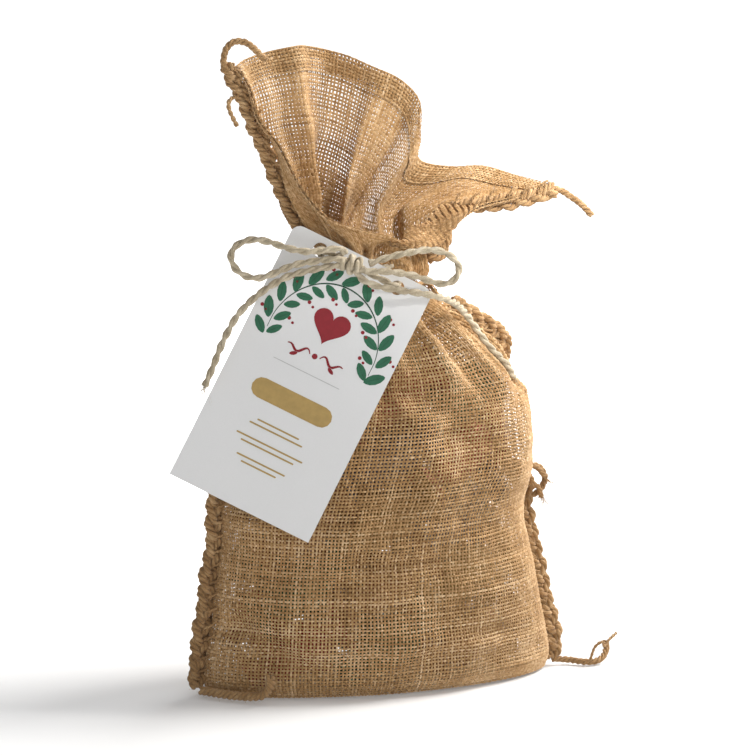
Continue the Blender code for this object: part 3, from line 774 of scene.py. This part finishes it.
def add_floor():
    """A white floor that glows more away from the sack, so that it runs into the white surround."""
    bpy.ops.mesh.primitive_plane_add(size=30.0)
    floor = bpy.context.object
    floor.name = "floor"
    material, tree, shader = new_material("white_floor", 0.9)
    shader.inputs["Base Color"].default_value = (0.70, 0.70, 0.70, 1.0)
    shader.inputs["Specular IOR Level"].default_value = 0.1
    place = node(tree, "ShaderNodeTexCoord")
    away = node(tree, "ShaderNodeVectorMath", operation="LENGTH")
    tree.links.new(place.outputs["Object"], away.inputs[0])
    glow = node(tree, "ShaderNodeMapRange", interpolation_type="SMOOTHSTEP")
    glow.inputs["From Min"].default_value = 0.12
    glow.inputs["From Max"].default_value = 0.60
    glow.inputs["To Min"].default_value = 0.17
    glow.inputs["To Max"].default_value = 0.82
    tree.links.new(away.outputs["Value"], glow.inputs["Value"])
    shader.inputs["Emission Color"].default_value = (1.0, 1.0, 1.0, 1.0)
    tree.links.new(glow.outputs["Result"], shader.inputs["Emission Strength"])
    floor.data.materials.append(material)


def add_stage():
    add_world()
    add_lamps()
    add_floor()


# --- Cloth ---

def lines_of(count, last):
    """count yarns spread over a grid's rows or columns, half a space in from each edge."""
    return (np.arange(count) + 0.5) / count * last


def add_cloth_piece(cloth, nodes):
    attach(cloth, "sack")
    if nodes:
        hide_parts(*nodes)


def add_body_cloth(side, name, jute):
    """The body's front or back, as a lower and an upper piece that share their middle yarn."""
    grid = body_grid(side)
    inside = np.ones(grid.shape[:2], bool)
    warps = lines_of(round(lengths_along(grid[60])[-1] / THREAD), grid.shape[1] - 1)
    middle_line = lengths_along(grid[:, grid.shape[1] // 2])
    heights = np.arange(0.0004, middle_line[-1], THREAD)
    rows = np.interp(heights, middle_line, np.arange(len(middle_line)))
    half = len(rows) // 2
    width, density = (FRONT_YARN_WIDTH, close_set) if side < 0 else (BACK_YARN_WIDTH, crowded)
    facing = (0, side, 0)
    lower = weave(f"{name}_lower", grid, inside, warps, rows[: half + 1], facing, jute, 40 + side,
                  width, density=density)
    upper = weave(f"{name}_upper", grid, inside, warps, rows[half:], facing, jute, 50 + side,
                  width, density=density)
    add_cloth_piece(lower, [f"{name}_panel"])
    add_cloth_piece(upper, ["neck_gather"] if side < 0 else [])


def add_frill_cloth(side, name, jute):
    """The mouth's front or back, with its hem laid on the inner side."""
    grid, inside = frill_grid(side)
    warps = lines_of(round(lengths_along(grid[0])[-1] / THREAD), grid.shape[1] - 1)
    rows = np.arange(0.3, grid.shape[0] - 1, THREAD * 1000)
    frill = weave(f"frill_{name}_cloth", grid, inside, warps, rows, TOWARDS_VIEWER, jute, 60 + side,
                  FRILL_YARN_WIDTH, density=doubled)
    rows = np.arange(0.0, HEM_WIDTH * 1000, THREAD * 900)
    hem = weave(f"hem_{name}_cloth", grid, inside, warps[:-1] + 0.4, rows, TOWARDS_VIEWER, jute, 70 + side,
                layer=side * HEM_LAYER)
    add_cloth_piece(hem, ["hem_back"] if side > 0 else [])
    add_cloth_piece(frill, [f"frill_{name}"])


def add_base(jute):
    """The bottom of the sack, where its cloth turns under."""
    across = np.linspace(-1, 1, 121)
    front, back = body_point(-1, across, CLOTH_FOOT + 0.0002), body_point(1, across, CLOTH_FOOT + 0.0002)
    grid = lerp(front[None], back[None], np.linspace(0.02, 0.98, 41)[:, None, None])
    grid[..., 2] = CLOTH_FOOT
    inside = np.ones(grid.shape[:2], bool)
    warps, wefts = lines_of(96, 120), lines_of(37, 40)
    base = weave("base_cloth", grid, inside, warps, wefts, (0, 0, -1), jute, 80, BASE_YARN_WIDTH)
    add_cloth_piece(base, ["base_panel"])


def add_cloth(jute):
    for side, name in ((-1, "front"), (1, "back")):
        add_body_cloth(side, name, jute)
        add_frill_cloth(side, name, jute)
    add_base(jute)


# --- Seams ---

def plait(line, reach, depth, strand, pitch, seed, facing=(0.3, -1.0, 0.2)):
    """Three strands plaited along a line; each strand is laid up from three yarns."""
    line = even_line(line, step=0.0006)
    along = lengths_along(line)
    sideways, out = frames_along(line, facing)
    random = np.random.default_rng(seed)
    wobble = 1 + 0.14 * np.sin(along * 260 + seed) + 0.10 * np.sin(along * 611 + 2 * seed)
    parts = []
    for k in range(3):
        turn = 2 * math.pi * (along / pitch + k / 3)
        centre = line + sideways * (reach * np.sin(turn) * wobble)[:, None]
        centre = centre + out * (depth * np.sin(2 * turn))[:, None]
        radius = strand * random.uniform(0.92, 1.08)
        parts.append(plied(centre, radius, 0.0075, 10, seed * 10 + k, plies=3, hair=0.0026))
    return join(parts)


def seam_route(sign):
    heights = np.array((0.0038, 0.012, 0.024, 0.038, 0.052, 0.066, 0.080,
                        0.092, 0.104, 0.116, 0.128, 0.140, 0.150, 0.158))
    edge = body_point(1, float(sign) + 0 * heights, heights)
    edge[:, 0] += sign * (SEAM_RADIUS - 0.0002 + np.maximum(heights - 0.125, 0) * 0.06)
    if sign > 0:
        edge += tuck(heights)
    return edge


def frill_point(side, across, share):
    line = frill_line(side, np.array([float(across)]), 101)[1:, 0]
    return line[np.minimum((np.asarray(share) * 100).astype(int), 100)]


def frill_seam_route(sign):
    lift = Vector((-0.55, 0.0, 0.20)) if sign < 0 else Vector((0.12, -0.90, -0.55))
    shares = np.array((0.10, 0.16, 0.22, 0.29, 0.36, 0.44, 0.52, 0.68, 0.84, 1.0))
    line = frill_point(1, sign, shares) + np.array(lift.normalized()) * (SEAM_RADIUS - 0.0004)
    return line + sagging(np.full(len(shares), (sign + 1) / 2), shares)


def seam_bites(line, towards, pitch, seed):
    """The overlock's stitches, that reach from the seam into the cloth."""
    random = np.random.default_rng(seed)
    line = even_line(line, step=pitch)
    parts = []
    for i in range(1, len(line) - 1):
        way = (line[i + 1] - line[i - 1]) / np.linalg.norm(line[i + 1] - line[i - 1])
        reach = towards * random.uniform(0.0050, 0.0064)
        start = line[i] + way * random.uniform(-0.0008, 0.0008)
        bend, turn = start + reach * 0.6 + way * 0.0012, start + reach + way * 0.0030
        route = (start, bend, turn, start + reach * 1.02 + way * 0.0046)
        parts.append(plied(smooth_line(route, 14), 0.00062, 0.004, 6, seed + i, hair=0.0014))
    return parts


def add_seam(name, route, inwards, reach, strand, spacing, seeds, yarn):
    """An overlocked seam: a plait along the cloth's edge and stitches that reach into the cloth."""
    line = smooth_line(route)
    bites = seam_bites(line + np.array((0, -0.0016, 0)), inwards, spacing, seeds[1])
    plaited = plait(line, reach, 0.0012, strand, 0.022, seeds[0])
    piece(f"{name}_yarn", join([plaited, *bites]), yarn, "sack", [name])


def add_seams(yarn):
    for sign, side in ((-1, "left"), (1, "right")):
        inwards = np.array((-sign * 0.9, -0.42, 0.0))
        add_seam(f"seam_{side}_lower", seam_route(sign), inwards, 0.0024, 0.00178, 0.0062,
                 (3 + sign, 11), yarn)
        inwards = np.array((0.85, -0.15, -0.1)) if sign < 0 else np.array((-0.05, -0.2, 0.95))
        add_seam(f"seam_{side}_upper", frill_seam_route(sign), inwards, 0.0022, 0.00160, 0.0070,
                 (7 + sign, 31), yarn)


# The overlock yarn's loose ends, each as a route
TAILS = {
    "tail_mouth_left": (
        (-0.0635, -0.0012, 0.2560), (-0.0668, -0.0010, 0.2620), (-0.0662, -0.0010, 0.2680),
        (-0.0630, -0.0010, 0.2715), (-0.0585, -0.0025, 0.2715), (-0.0550, -0.0040, 0.2690),
        (-0.0500, -0.0040, 0.2640),
    ),
    "tail_mouth_right": (
        (0.0765, -0.0010, 0.2055), (0.0818, -0.0010, 0.2035), (0.0855, -0.0020, 0.2010),
        (0.0900, -0.0030, 0.1975), (0.0940, -0.0040, 0.1930),
    ),
    "tail_base_left": (
        (-0.0800, -0.0062, 0.0034), (-0.0745, -0.0130, 0.0032), (-0.0670, -0.0200, 0.0030),
        (-0.0600, -0.0255, 0.0040), (-0.0575, -0.0290, 0.0085), (-0.0580, -0.0310, 0.0135),
    ),
    "tail_base_right": (
        (0.0790, 0.0000, 0.0030), (0.0862, -0.0010, 0.0022), (0.0900, -0.0040, 0.0018),
        (0.0950, -0.0065, 0.0018), (0.1000, -0.0050, 0.0030), (0.1035, -0.0010, 0.0060),
        (0.1045, 0.0030, 0.0075),
    ),
    "seam_splice_loop": (
        (0.0640, 0.0090, 0.0820), (0.0700, 0.0060, 0.0858), (0.0745, 0.0050, 0.0855),
        (0.0770, 0.0045, 0.0805), (0.0745, 0.0050, 0.0750), (0.0690, 0.0060, 0.0725),
    ),
}

# The thin curl of yarn at the base's right corner and the stub at the mouth's left corner
CURL = (
    (0.0935, -0.0075, 0.0030),
    (0.0950, -0.0085, 0.0085),
    (0.0985, -0.0080, 0.0105),
    (0.1010, -0.0050, 0.0080),
    (0.1040, -0.0020, 0.0095),
    (0.1085, 0.0000, 0.0120),
)
STUB = (
    (-0.0600, 0.0000, 0.2500),
    (-0.0652, -0.0030, 0.2480),
    (-0.0655, -0.0040, 0.2440),
    (-0.0625, -0.0045, 0.2375),
)

# The splice's loose yarns
SPLICE_YARNS = (
    ((0.0640, 0.0080, 0.0860), (0.0690, 0.0040, 0.0870), (0.0735, 0.0030, 0.0850), (0.0762, 0.0030, 0.0815)),
    ((0.0650, 0.0080, 0.0760), (0.0690, 0.0030, 0.0790), (0.0728, 0.0020, 0.0775), (0.0745, 0.0020, 0.0730)),
    ((0.0655, 0.0090, 0.0800), (0.0685, 0.0030, 0.0830), (0.0705, 0.0020, 0.0790), (0.0690, 0.0040, 0.0740)),
)


def add_seam_tails(yarn):
    """The tails of chained yarn that the overlocker left at each corner."""
    curl = plied(smooth_line(CURL), 0.0007, 0.004, 20, 79)
    curled = piece("seam_curl", curl, yarn, "sack", ())
    for number, (name, route) in enumerate(TAILS.items()):
        line = smooth_line(route)
        radius = 0.0019 if name == "tail_base_left" else 0.0014
        parts = [plied(line, radius, 0.0070, 40, 90 + number, plies=3, hair=0.0030)]
        if name == "seam_splice_loop":
            for loose, route in enumerate(SPLICE_YARNS):
                yarn_line = smooth_line(route)
                parts.append(plied(yarn_line, 0.0012, 0.0060, 60, 40 + loose, plies=3, hair=0.0050))
                parts += frayed_end(yarn_line, 44 + loose, 0.0075)
        points, quads = join(parts)
        points[:, 2] = np.maximum(points[:, 2], FLOOR_GAP)
        tail = piece(f"{name}_yarn", (points, quads), yarn, "sack", [name])
    stub = plied(smooth_line(STUB), 0.0010, 0.005, 20, 77)
    piece("seam_stub", stub, yarn, "sack", ())


# --- Twine and tag ---

# The bow's twine, each length as a route in the tag's frame
BOW = {
    "bow_strand_left": (
        (-0.0176, -0.0005, -0.0030), (-0.0176, -0.0003, 0.0010), (-0.0160, 0.0000, 0.0034),
        (-0.0125, 0.0000, 0.0046), (-0.0075, 0.0000, HINGE_OUT),
    ),
    "bow_strand_right": (
        (0.0016, 0.0000, HINGE_OUT), (0.0090, 0.0000, 0.0048), (0.0145, 0.0000, 0.0036),
        (0.0176, -0.0003, 0.0010), (0.0176, -0.0005, -0.0030),
    ),
    "bow_loop_left": (
        (-0.0070, -0.0024, 0.0074), (-0.0100, -0.0032, 0.0084), (-0.0190, 0.0026, 0.0098),
        (-0.0240, 0.0048, 0.0096), (-0.0306, 0.0062, 0.0086), (-0.0374, 0.0070, 0.0076),
        (-0.0440, 0.0092, 0.0066), (-0.0485, 0.0140, 0.0060), (-0.0488, 0.0187, 0.0060),
        (-0.0452, 0.0224, 0.0060), (-0.0397, 0.0236, 0.0062), (-0.0340, 0.0218, 0.0068),
        (-0.0296, 0.0176, 0.0072), (-0.0240, 0.0112, 0.0074), (-0.0175, 0.0062, 0.0074),
        (-0.0095, 0.0012, 0.0088), (-0.0068, 0.0004, 0.0076),
    ),
    "bow_tail_left": (
        (-0.0065, 0.0022, 0.0066), (-0.0098, 0.0046, 0.0072), (-0.0174, 0.0100, 0.0056),
        (-0.0236, 0.0155, 0.0050), (-0.0278, 0.0212, 0.0050), (-0.0312, 0.0272, 0.0050),
        (-0.0340, 0.0340, 0.0046), (-0.0358, 0.0415, 0.0040), (-0.0360, 0.0525, 0.0034),
        (-0.0352, 0.0625, 0.0030), (-0.0346, 0.0710, 0.0030),
    ),
    "bow_loop_right": (
        (0.0036, -0.0032, 0.0080), (0.0093, -0.0088, 0.0084), (0.0154, -0.0138, 0.0080),
        (0.0210, -0.0180, 0.0072), (0.0255, -0.0203, 0.0066), (0.0313, -0.0210, 0.0060),
        (0.0362, -0.0190, 0.0056), (0.0378, -0.0155, 0.0054), (0.0366, -0.0114, 0.0054),
        (0.0330, -0.0088, 0.0060), (0.0279, -0.0078, 0.0068), (0.0205, -0.0064, 0.0084),
        (0.0120, -0.0034, 0.0100), (0.0036, 0.0006, 0.0096),
    ),
    "bow_tail_right": (
        (0.0005, 0.0022, 0.0066), (0.0040, 0.0038, 0.0080), (0.0100, 0.0038, 0.0090),
        (0.0170, 0.0020, 0.0082), (0.0250, -0.0010, 0.0058), (0.0330, -0.0036, 0.0024),
        (0.0390, -0.0054, -0.0060), (0.0430, -0.0058, -0.0190), (0.0470, -0.0046, -0.0295),
        (0.0530, -0.0016, -0.0345), (0.0600, 0.0018, -0.0368), (0.0690, 0.0046, -0.0460),
        (0.0740, 0.0076, -0.0530),
    ),
}


def frayed_end(line, seed, reach=0.005):
    """Fibres spread out past the cut end of a twine."""
    random = np.random.default_rng(seed)
    way = line[-1] - line[-8]
    way = way / np.linalg.norm(way)
    parts = []
    for _ in range(46):
        spread = random.normal(0, 0.34, 3)
        root = line[-1 - random.integers(0, 8)] + random.normal(0, 0.0004, 3)
        bend = root + (way + spread) * reach * random.uniform(0.3, 0.5)
        tip = bend + (way + spread * 1.8 + random.normal(0, 0.3, 3)) * reach * random.uniform(0.2, 0.5)
        wide = np.cross(way, spread)
        wide = wide / np.linalg.norm(wide) * FRAYED_WIDTH / 2
        parts.append(fibre(root, bend, tip, wide))
    return parts


def add_bow(twine):
    for number, (name, route) in enumerate(BOW.items()):
        body = "tag" if name.endswith("left") or "strand" in name else "sack"
        points = [on_tag(*place) for place in route]
        line = smooth_line(points)
        made = piece(f"{name}_twine", plied(line, seed=20 + number), twine, body, [name])
        ends = []
        if "tail" in name:
            ends = [piece(f"{name}_frayed_end", join(frayed_end(line, 30 + number)), twine, body)]
    turns = np.linspace(0, 2.1, 120)
    middle = -KNOT_LEFT - 0.0035
    wrap = []
    for t in turns:
        angle = 2 * math.pi * t
        out = HINGE_OUT + 0.0028 * math.cos(angle)
        wrap.append(on_tag(middle + 0.0033 * t, 0.0030 * math.sin(angle), out))
    ends = [on_tag(-0.0098, 0, 0.0074), on_tag(-0.003, 0.0006, 0.0052), on_tag(0.0036, 0, 0.0074)]
    wrap = plied(np.array(wrap), fuzz=8, seed=51, hair=0.0006)
    core = plied(smooth_line(ends), 0.0021, fuzz=8, seed=52, hair=0.0006)
    knot = join([wrap, core])
    piece("bow_knot_twine", knot, twine, "sack", ["bow_knot"])


def add_neck_twine(twine):
    radius = NECK_RADIUS + GAP + TWINE_RADIUS + 0.0002
    turn = math.radians(-100) + 2 * math.pi * 1.9 * np.linspace(0, 1, 400)
    height = TIE_HEIGHT + TIE_PITCH * np.linspace(-0.5, 0.5, 400) * 1.9
    line = np.stack([NECK_X + radius * np.cos(turn), radius * np.sin(turn), height], axis=1)
    piece("neck_turns_twine", plied(line, seed=61), twine, "sack", ["twine_neck_turns"])
    reach = NECK_RADIUS + 3 * TWINE_RADIUS + 4 * GAP
    leads = {
        "left": ((178, 0.1765, 0.0), (192, 0.1775, 0.0006), (204, 0.1800, 0.0018)),
        "right": ((-42, 0.1745, 0.0), (-56, 0.1735, 0.0008), (-68, 0.1705, 0.0034)),
    }
    for name, places in leads.items():
        sign = -1 if name == "left" else 1
        route = []
        for turn, z, more in places:
            angle = math.radians(turn)
            route.append((NECK_X + (reach + more) * math.cos(angle), (reach + more) * math.sin(angle), z))
        route.append(tuple(on_tag(sign * TAG_HOLE_SPAN / 2, 0.0, -0.0052)))
        line = smooth_line(route)
        piece(f"lead_{name}_twine", plied(line, seed=64), twine, "sack", [f"twine_lead_{name}"])


def printed(name, shapes, material):
    """Flat shapes printed on the tag. Each shape is a loop of (p, q) round its own first point."""
    points, quads = [], []
    for number, shape in enumerate(shapes):
        first = len(points)
        middle = np.mean(shape, axis=0)
        layer = CARD_FACE + 0.00006 + 0.00001 * (number % 5)
        points += [on_tag(*middle, layer)] + [on_tag(p, q, layer) for p, q in shape]
        count = len(shape)
        rim = [first + 1 + i % count for i in range(count + 2)]
        quads += [(first, rim[i], rim[i + 1], rim[i + 2]) for i in range(0, count, 2)]
    thing = make_mesh(name, np.array(points), np.array(quads), material)
    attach(thing, "tag")


def oval(p, q, length, width, turn, count=12, tip=1.0):
    """A leaf's outline: pointed at both ends when tip is above 1."""
    shape = []
    along, across = math.cos(turn), math.sin(turn)
    for i in range(count):
        angle = 2 * math.pi * i / count
        x = 0.5 * length * math.cos(angle)
        y = 0.5 * width * math.sin(angle) * abs(math.sin(angle)) ** (tip - 1)
        shape.append((p + x * along - y * across, q + x * across + y * along))
    return shape


def bar(p, q, length, width):
    """A bar with rounded ends."""
    ends = []
    for sign in (1, -1):
        for step in range(7):
            angle = math.radians(-90 + 30 * step) if sign > 0 else math.radians(90 + 30 * step)
            middle = p + sign * (length - width) / 2
            ends.append((middle + width / 2 * math.cos(angle), q + width / 2 * math.sin(angle)))
    return ends


def ribbon_shape(route, width):
    """A line of changing width, as a row of short shapes."""
    line = catmull_rom([(p, q, 0) for p, q in route], np.linspace(0, 1, 12 * len(route)))[:, :2]
    shapes = []
    for i in range(len(line) - 1):
        way = line[i + 1] - line[i]
        side = np.array((-way[1], way[0])) / np.linalg.norm(way) / 2
        here = width * (0.35 + 0.65 * math.sin(math.pi * i / len(line)))
        after = width * (0.35 + 0.65 * math.sin(math.pi * (i + 1) / len(line)))
        shapes.append([tuple(line[i] - side * here), tuple(line[i + 1] - side * after),
                       tuple(line[i + 1] + side * after), tuple(line[i] + side * here)])
    return shapes


def leaf_arch(random):
    """An arch of paired leaves: the outlines of its leaves, veins and berries, and its stem's route."""
    leaves, veins, berries, stems = [], [], [], []
    for step in range(13):
        angle = math.radians(186 - 16 * step)
        p, q = 0.0232 * math.cos(angle), 0.0350 - 0.0258 * math.sin(angle)
        heading = -angle - math.pi / 2 + (math.pi if step > 6 else 0)
        for side in (-1, 1):
            length = random.uniform(0.0078, 0.0094) * (1.0 if side > 0 else 0.86)
            turn = heading + side * math.radians(42 + random.uniform(-9, 9)) * (1 if step > 6 else -1)
            away = random.uniform(0.0030, 0.0036) * side
            centre = (p + away * math.cos(angle), q - away * math.sin(angle))
            leaves.append(oval(*centre, length, length * 0.46, turn, tip=1.35))
            veins.append(oval(*centre, length * 0.8, 0.00022, turn))
        if step % 2:
            for reach in (-0.0064, 0.0060):
                spot = (p + reach * math.cos(angle + 0.16), q - reach * math.sin(angle + 0.16))
                berries.append(oval(*spot, 0.0016, 0.0016, 0.0))
                berries.append(oval(spot[0] + 0.0021, spot[1] + 0.0012, 0.0012, 0.0012, 0.0))
        stems.append((p, q))
    return leaves, veins, berries, stems


def heart_outline():
    heart = []
    for i in range(40):
        t = 2 * math.pi * i / 40
        x = 16 * math.sin(t) ** 3
        y = 13 * math.cos(t) - 5 * math.cos(2 * t) - 2 * math.cos(3 * t) - math.cos(4 * t)
        heart.append((0.0002 + x * 0.00050, 0.0262 - y * 0.00050))
    return heart


def flourish():
    """A pair of wavy curls with leaves at their ends and a dot between them."""
    swirls = []
    for sign in (-1, 1):
        curl = []
        for i in range(10):
            wave = 0.0019 * math.sin(0.95 * i) * (1 - i / 14)
            curl.append((sign * (0.0022 + 0.00115 * i), 0.0402 - wave))
        swirls += ribbon_shape(curl, 0.0011)
        swirls.append(oval(sign * 0.0085, 0.0428, 0.0034, 0.0016, sign * 0.5, tip=1.35))
    swirls.append(oval(0.0, 0.0402, 0.0024, 0.0024, 0.0))
    return swirls


# The thin gold lines: (place down the tag, length)
GOLD_LINES = (
    (0.0735, 0.0190),
    (0.0757, 0.0240),
    (0.0815, 0.0300),
    (0.0837, 0.0240),
    (0.0895, 0.0220),
    (0.0917, 0.0160),
)


def add_print(green, dark_green, red, gold, grey):
    leaves, veins, berries, stems = leaf_arch(np.random.default_rng(12))
    printed("print_leaves", leaves, green)
    printed("print_stems", ribbon_shape(stems, 0.0006) + veins, dark_green)
    printed("print_berries", berries + [heart_outline()] + flourish(), red)
    lines = [bar(0.0, q, length, 0.0007) for q, length in GOLD_LINES]
    printed("print_gold", [bar(0.0, 0.0612, 0.0360, 0.0086)] + lines, gold)
    printed("print_rule", [bar(0.0, 0.0478, 0.0300, 0.0003)], grey)


# --- Sweets ---

SWEET_LENGTH, SWEET_RADIUS, SWEET_FLATNESS = 0.0370, 0.0082, 0.86
SWEET_ROWS = (0.0180, 0.0445, 0.0710, 0.0970, 0.1220)
SWEET_COLUMNS = (-0.52, 0.0, 0.52)
SWEET_DEPTHS = {"front": -0.33, "back": 0.33}
SWEET_TILT = math.radians(28)
# Half of a wrapper's outline: (place along it, radius), as shares of the half length and the sweet's radius
WRAPPER_OUTLINE = (
    (-1, 1.30),
    (-0.86, 1.00),
    (-0.76, 0.56),
    (-0.70, 0.36),
    (-0.64, 0.50),
    (-0.54, 0.84),
    (-0.36, 1.02),
    (0, 1.06),
)
WRAPPER_LENGTH = 1.24  # times the sweet's own length


def sweet_geometry(seed):
    """A sweet in its wrapper: a plump middle, twisted and fluted ends."""
    random = np.random.default_rng(seed)
    share = np.linspace(-1, 1, 49)
    half = SWEET_LENGTH / 2 * WRAPPER_LENGTH
    outline = WRAPPER_OUTLINE + tuple((-place, radius) for place, radius in reversed(WRAPPER_OUTLINE[:-1]))
    radius = np.interp(share, *zip(*outline)) * SWEET_RADIUS
    turn = np.linspace(0, 2 * math.pi, 36, endpoint=False)
    fluted = smoothstep(0.56, 0.78, np.abs(share))[:, None]
    flutes = np.sin(9 * turn[None] + 6 * share[:, None] + seed)
    creases = np.sin(5 * turn[None] + 9 * share[:, None] + seed)
    creases = creases * np.sin(13 * share[:, None] + 3 * turn[None])
    uneven = 0.965 + 0.030 * creases + fluted * 0.10 * flutes + 0.004 * random.normal(0, 1, (49, 36))
    ring = radius[:, None] * uneven
    along = np.broadcast_to(share[:, None] * half * 0.995, ring.shape)
    points = np.stack([1.26 * ring * np.cos(turn), ring * np.sin(turn), along], axis=-1)
    index = np.arange(49 * 36).reshape(49, 36)
    after = np.roll(index, -1, axis=1)
    quads = np.stack([index[:-1], after[:-1], after[1:], index[1:]], axis=-1).reshape(-1, 4)
    return points.reshape(-1, 3), quads


def pressed_in(points, room=0.0022):
    """Wrappers give way where the cloth presses on them."""
    height = np.clip(points[:, 2], 0.0035, 0.1500)
    left, right, half_depth, set_back = body_section(height)
    right = right - 0.1 * set_back
    middle, half_width = (left + right) / 2, (right - left) / 2 - 0.004
    x = middle + np.clip(points[:, 0] - middle, -half_width, half_width)
    sine = (x - middle) / (half_width + 0.004)
    bulge = np.clip(1 - sine**2, 0, 1) ** (SIDE_CREASE / 2)
    room = room + 0.0045 * smoothstep(0.110, 0.145, height)
    reach = np.maximum(half_depth * bulge - room, 0.0005)
    shift = set_back * (np.maximum(np.arcsin(sine), 0) * 2 / math.pi) ** 2
    return np.stack([x, np.clip(points[:, 1], shift - reach, shift + reach), height], axis=1)


def add_sweets(wrappers):
    number = 0
    for layer, depth in SWEET_DEPTHS.items():
        for row, height in enumerate(SWEET_ROWS):
            left, right, half_depth, _ = (float(x) for x in body_section(np.array(height)))
            half_width, middle = (right - left) / 2, (left + right) / 2
            for column, place in enumerate(SWEET_COLUMNS):
                tilt = SWEET_TILT * (1 if layer == "front" else -1) + 0.10 * math.sin(2.4 * number)
                depth_here = depth * half_depth * (1.0 if place == 0.0 else 0.74)
                yaw = Matrix.Rotation(-place * 0.5 * math.copysign(1, depth), 4, "Z")
                lie = Matrix.Rotation(math.pi / 2 - tilt, 4, "Y")
                flat = Matrix.Diagonal((1.0, SWEET_FLATNESS, 1.0, 1.0))
                spot = Matrix.Translation((middle + place * half_width, depth_here, height))
                place_it = np.array(spot @ yaw @ lie @ flat)
                points, quads = sweet_geometry(number)
                points = pressed_in(points @ place_it[:3, :3].T + place_it[:3, 3])
                name = f"sweet_{layer}_{row + 1}_{column + 1}"
                kind = (2 * number + row) % len(wrappers)
                wrapper = make_mesh(f"{name}_wrapper", points, quads, wrappers[kind])
                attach(wrapper, "sack")
                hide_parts(name)
                number += 1


# Jute's colours, each as dark, middle and light
WEAVE_COLOURS = ((0.20, 0.098, 0.032), (0.45, 0.268, 0.116), (0.75, 0.54, 0.325))
SEAM_COLOURS = ((0.17, 0.090, 0.034), (0.37, 0.220, 0.098), (0.60, 0.41, 0.22))
TWINE_COLOURS = ((0.24, 0.190, 0.120), (0.45, 0.38, 0.27), (0.70, 0.62, 0.48))
# The tag's inks: name, colour and roughness
INKS = (
    ("ink_green", (0.020, 0.130, 0.065), 0.6),
    ("ink_dark_green", (0.008, 0.060, 0.030), 0.6),
    ("ink_red", (0.260, 0.010, 0.018), 0.6),
    ("ink_gold", (0.420, 0.280, 0.090), 0.5),
    ("ink_grey", (0.480, 0.480, 0.480), 0.6),
)
# The wrappers' foils: their own hues, darkened as painted shade for the dim inside of the sack
SHADED_FOIL_COLOURS = (
    (0.24, 0.02, 0.015),
    (0.20, 0.12, 0.03),
    (0.02, 0.07, 0.03),
    (0.04, 0.055, 0.08),
    (0.20, 0.07, 0.025),
)


def main():
    add_camera()
    add_stage()
    jute = fibre_material("jute_weave", *WEAVE_COLOURS, patchy=40.0)
    yarn = fibre_material("seam_jute", *SEAM_COLOURS, depth=0.0006)
    twine = fibre_material("twine_jute", *TWINE_COLOURS, depth=0.0005)
    add_cloth(jute)
    add_seams(yarn)
    add_seam_tails(yarn)
    add_bow(twine)
    add_neck_twine(twine)
    card = plain_material("card_paper", (0.74, 0.74, 0.74), 0.62, grain=1500.0, depth=0.00001, uneven=0.12)
    inks = [plain_material(*ink, grain=400.0, depth=0.00001) for ink in INKS]
    add_print(*inks)
    wrappers = []
    # Foil materials whose dark colours are partly painted shade for the sack's inside
    for number, colour in enumerate(SHADED_FOIL_COLOURS):
        name = f"foil_{number + 1}"
        wrappers.append(plain_material(name, colour, 0.28, metallic=0.40, grain=260.0, depth=0.0010))
    add_sweets(wrappers)
    tag = bpy.data.objects["tag_card"]
    tag.data.materials.clear()
    tag.data.materials.append(card)


main()
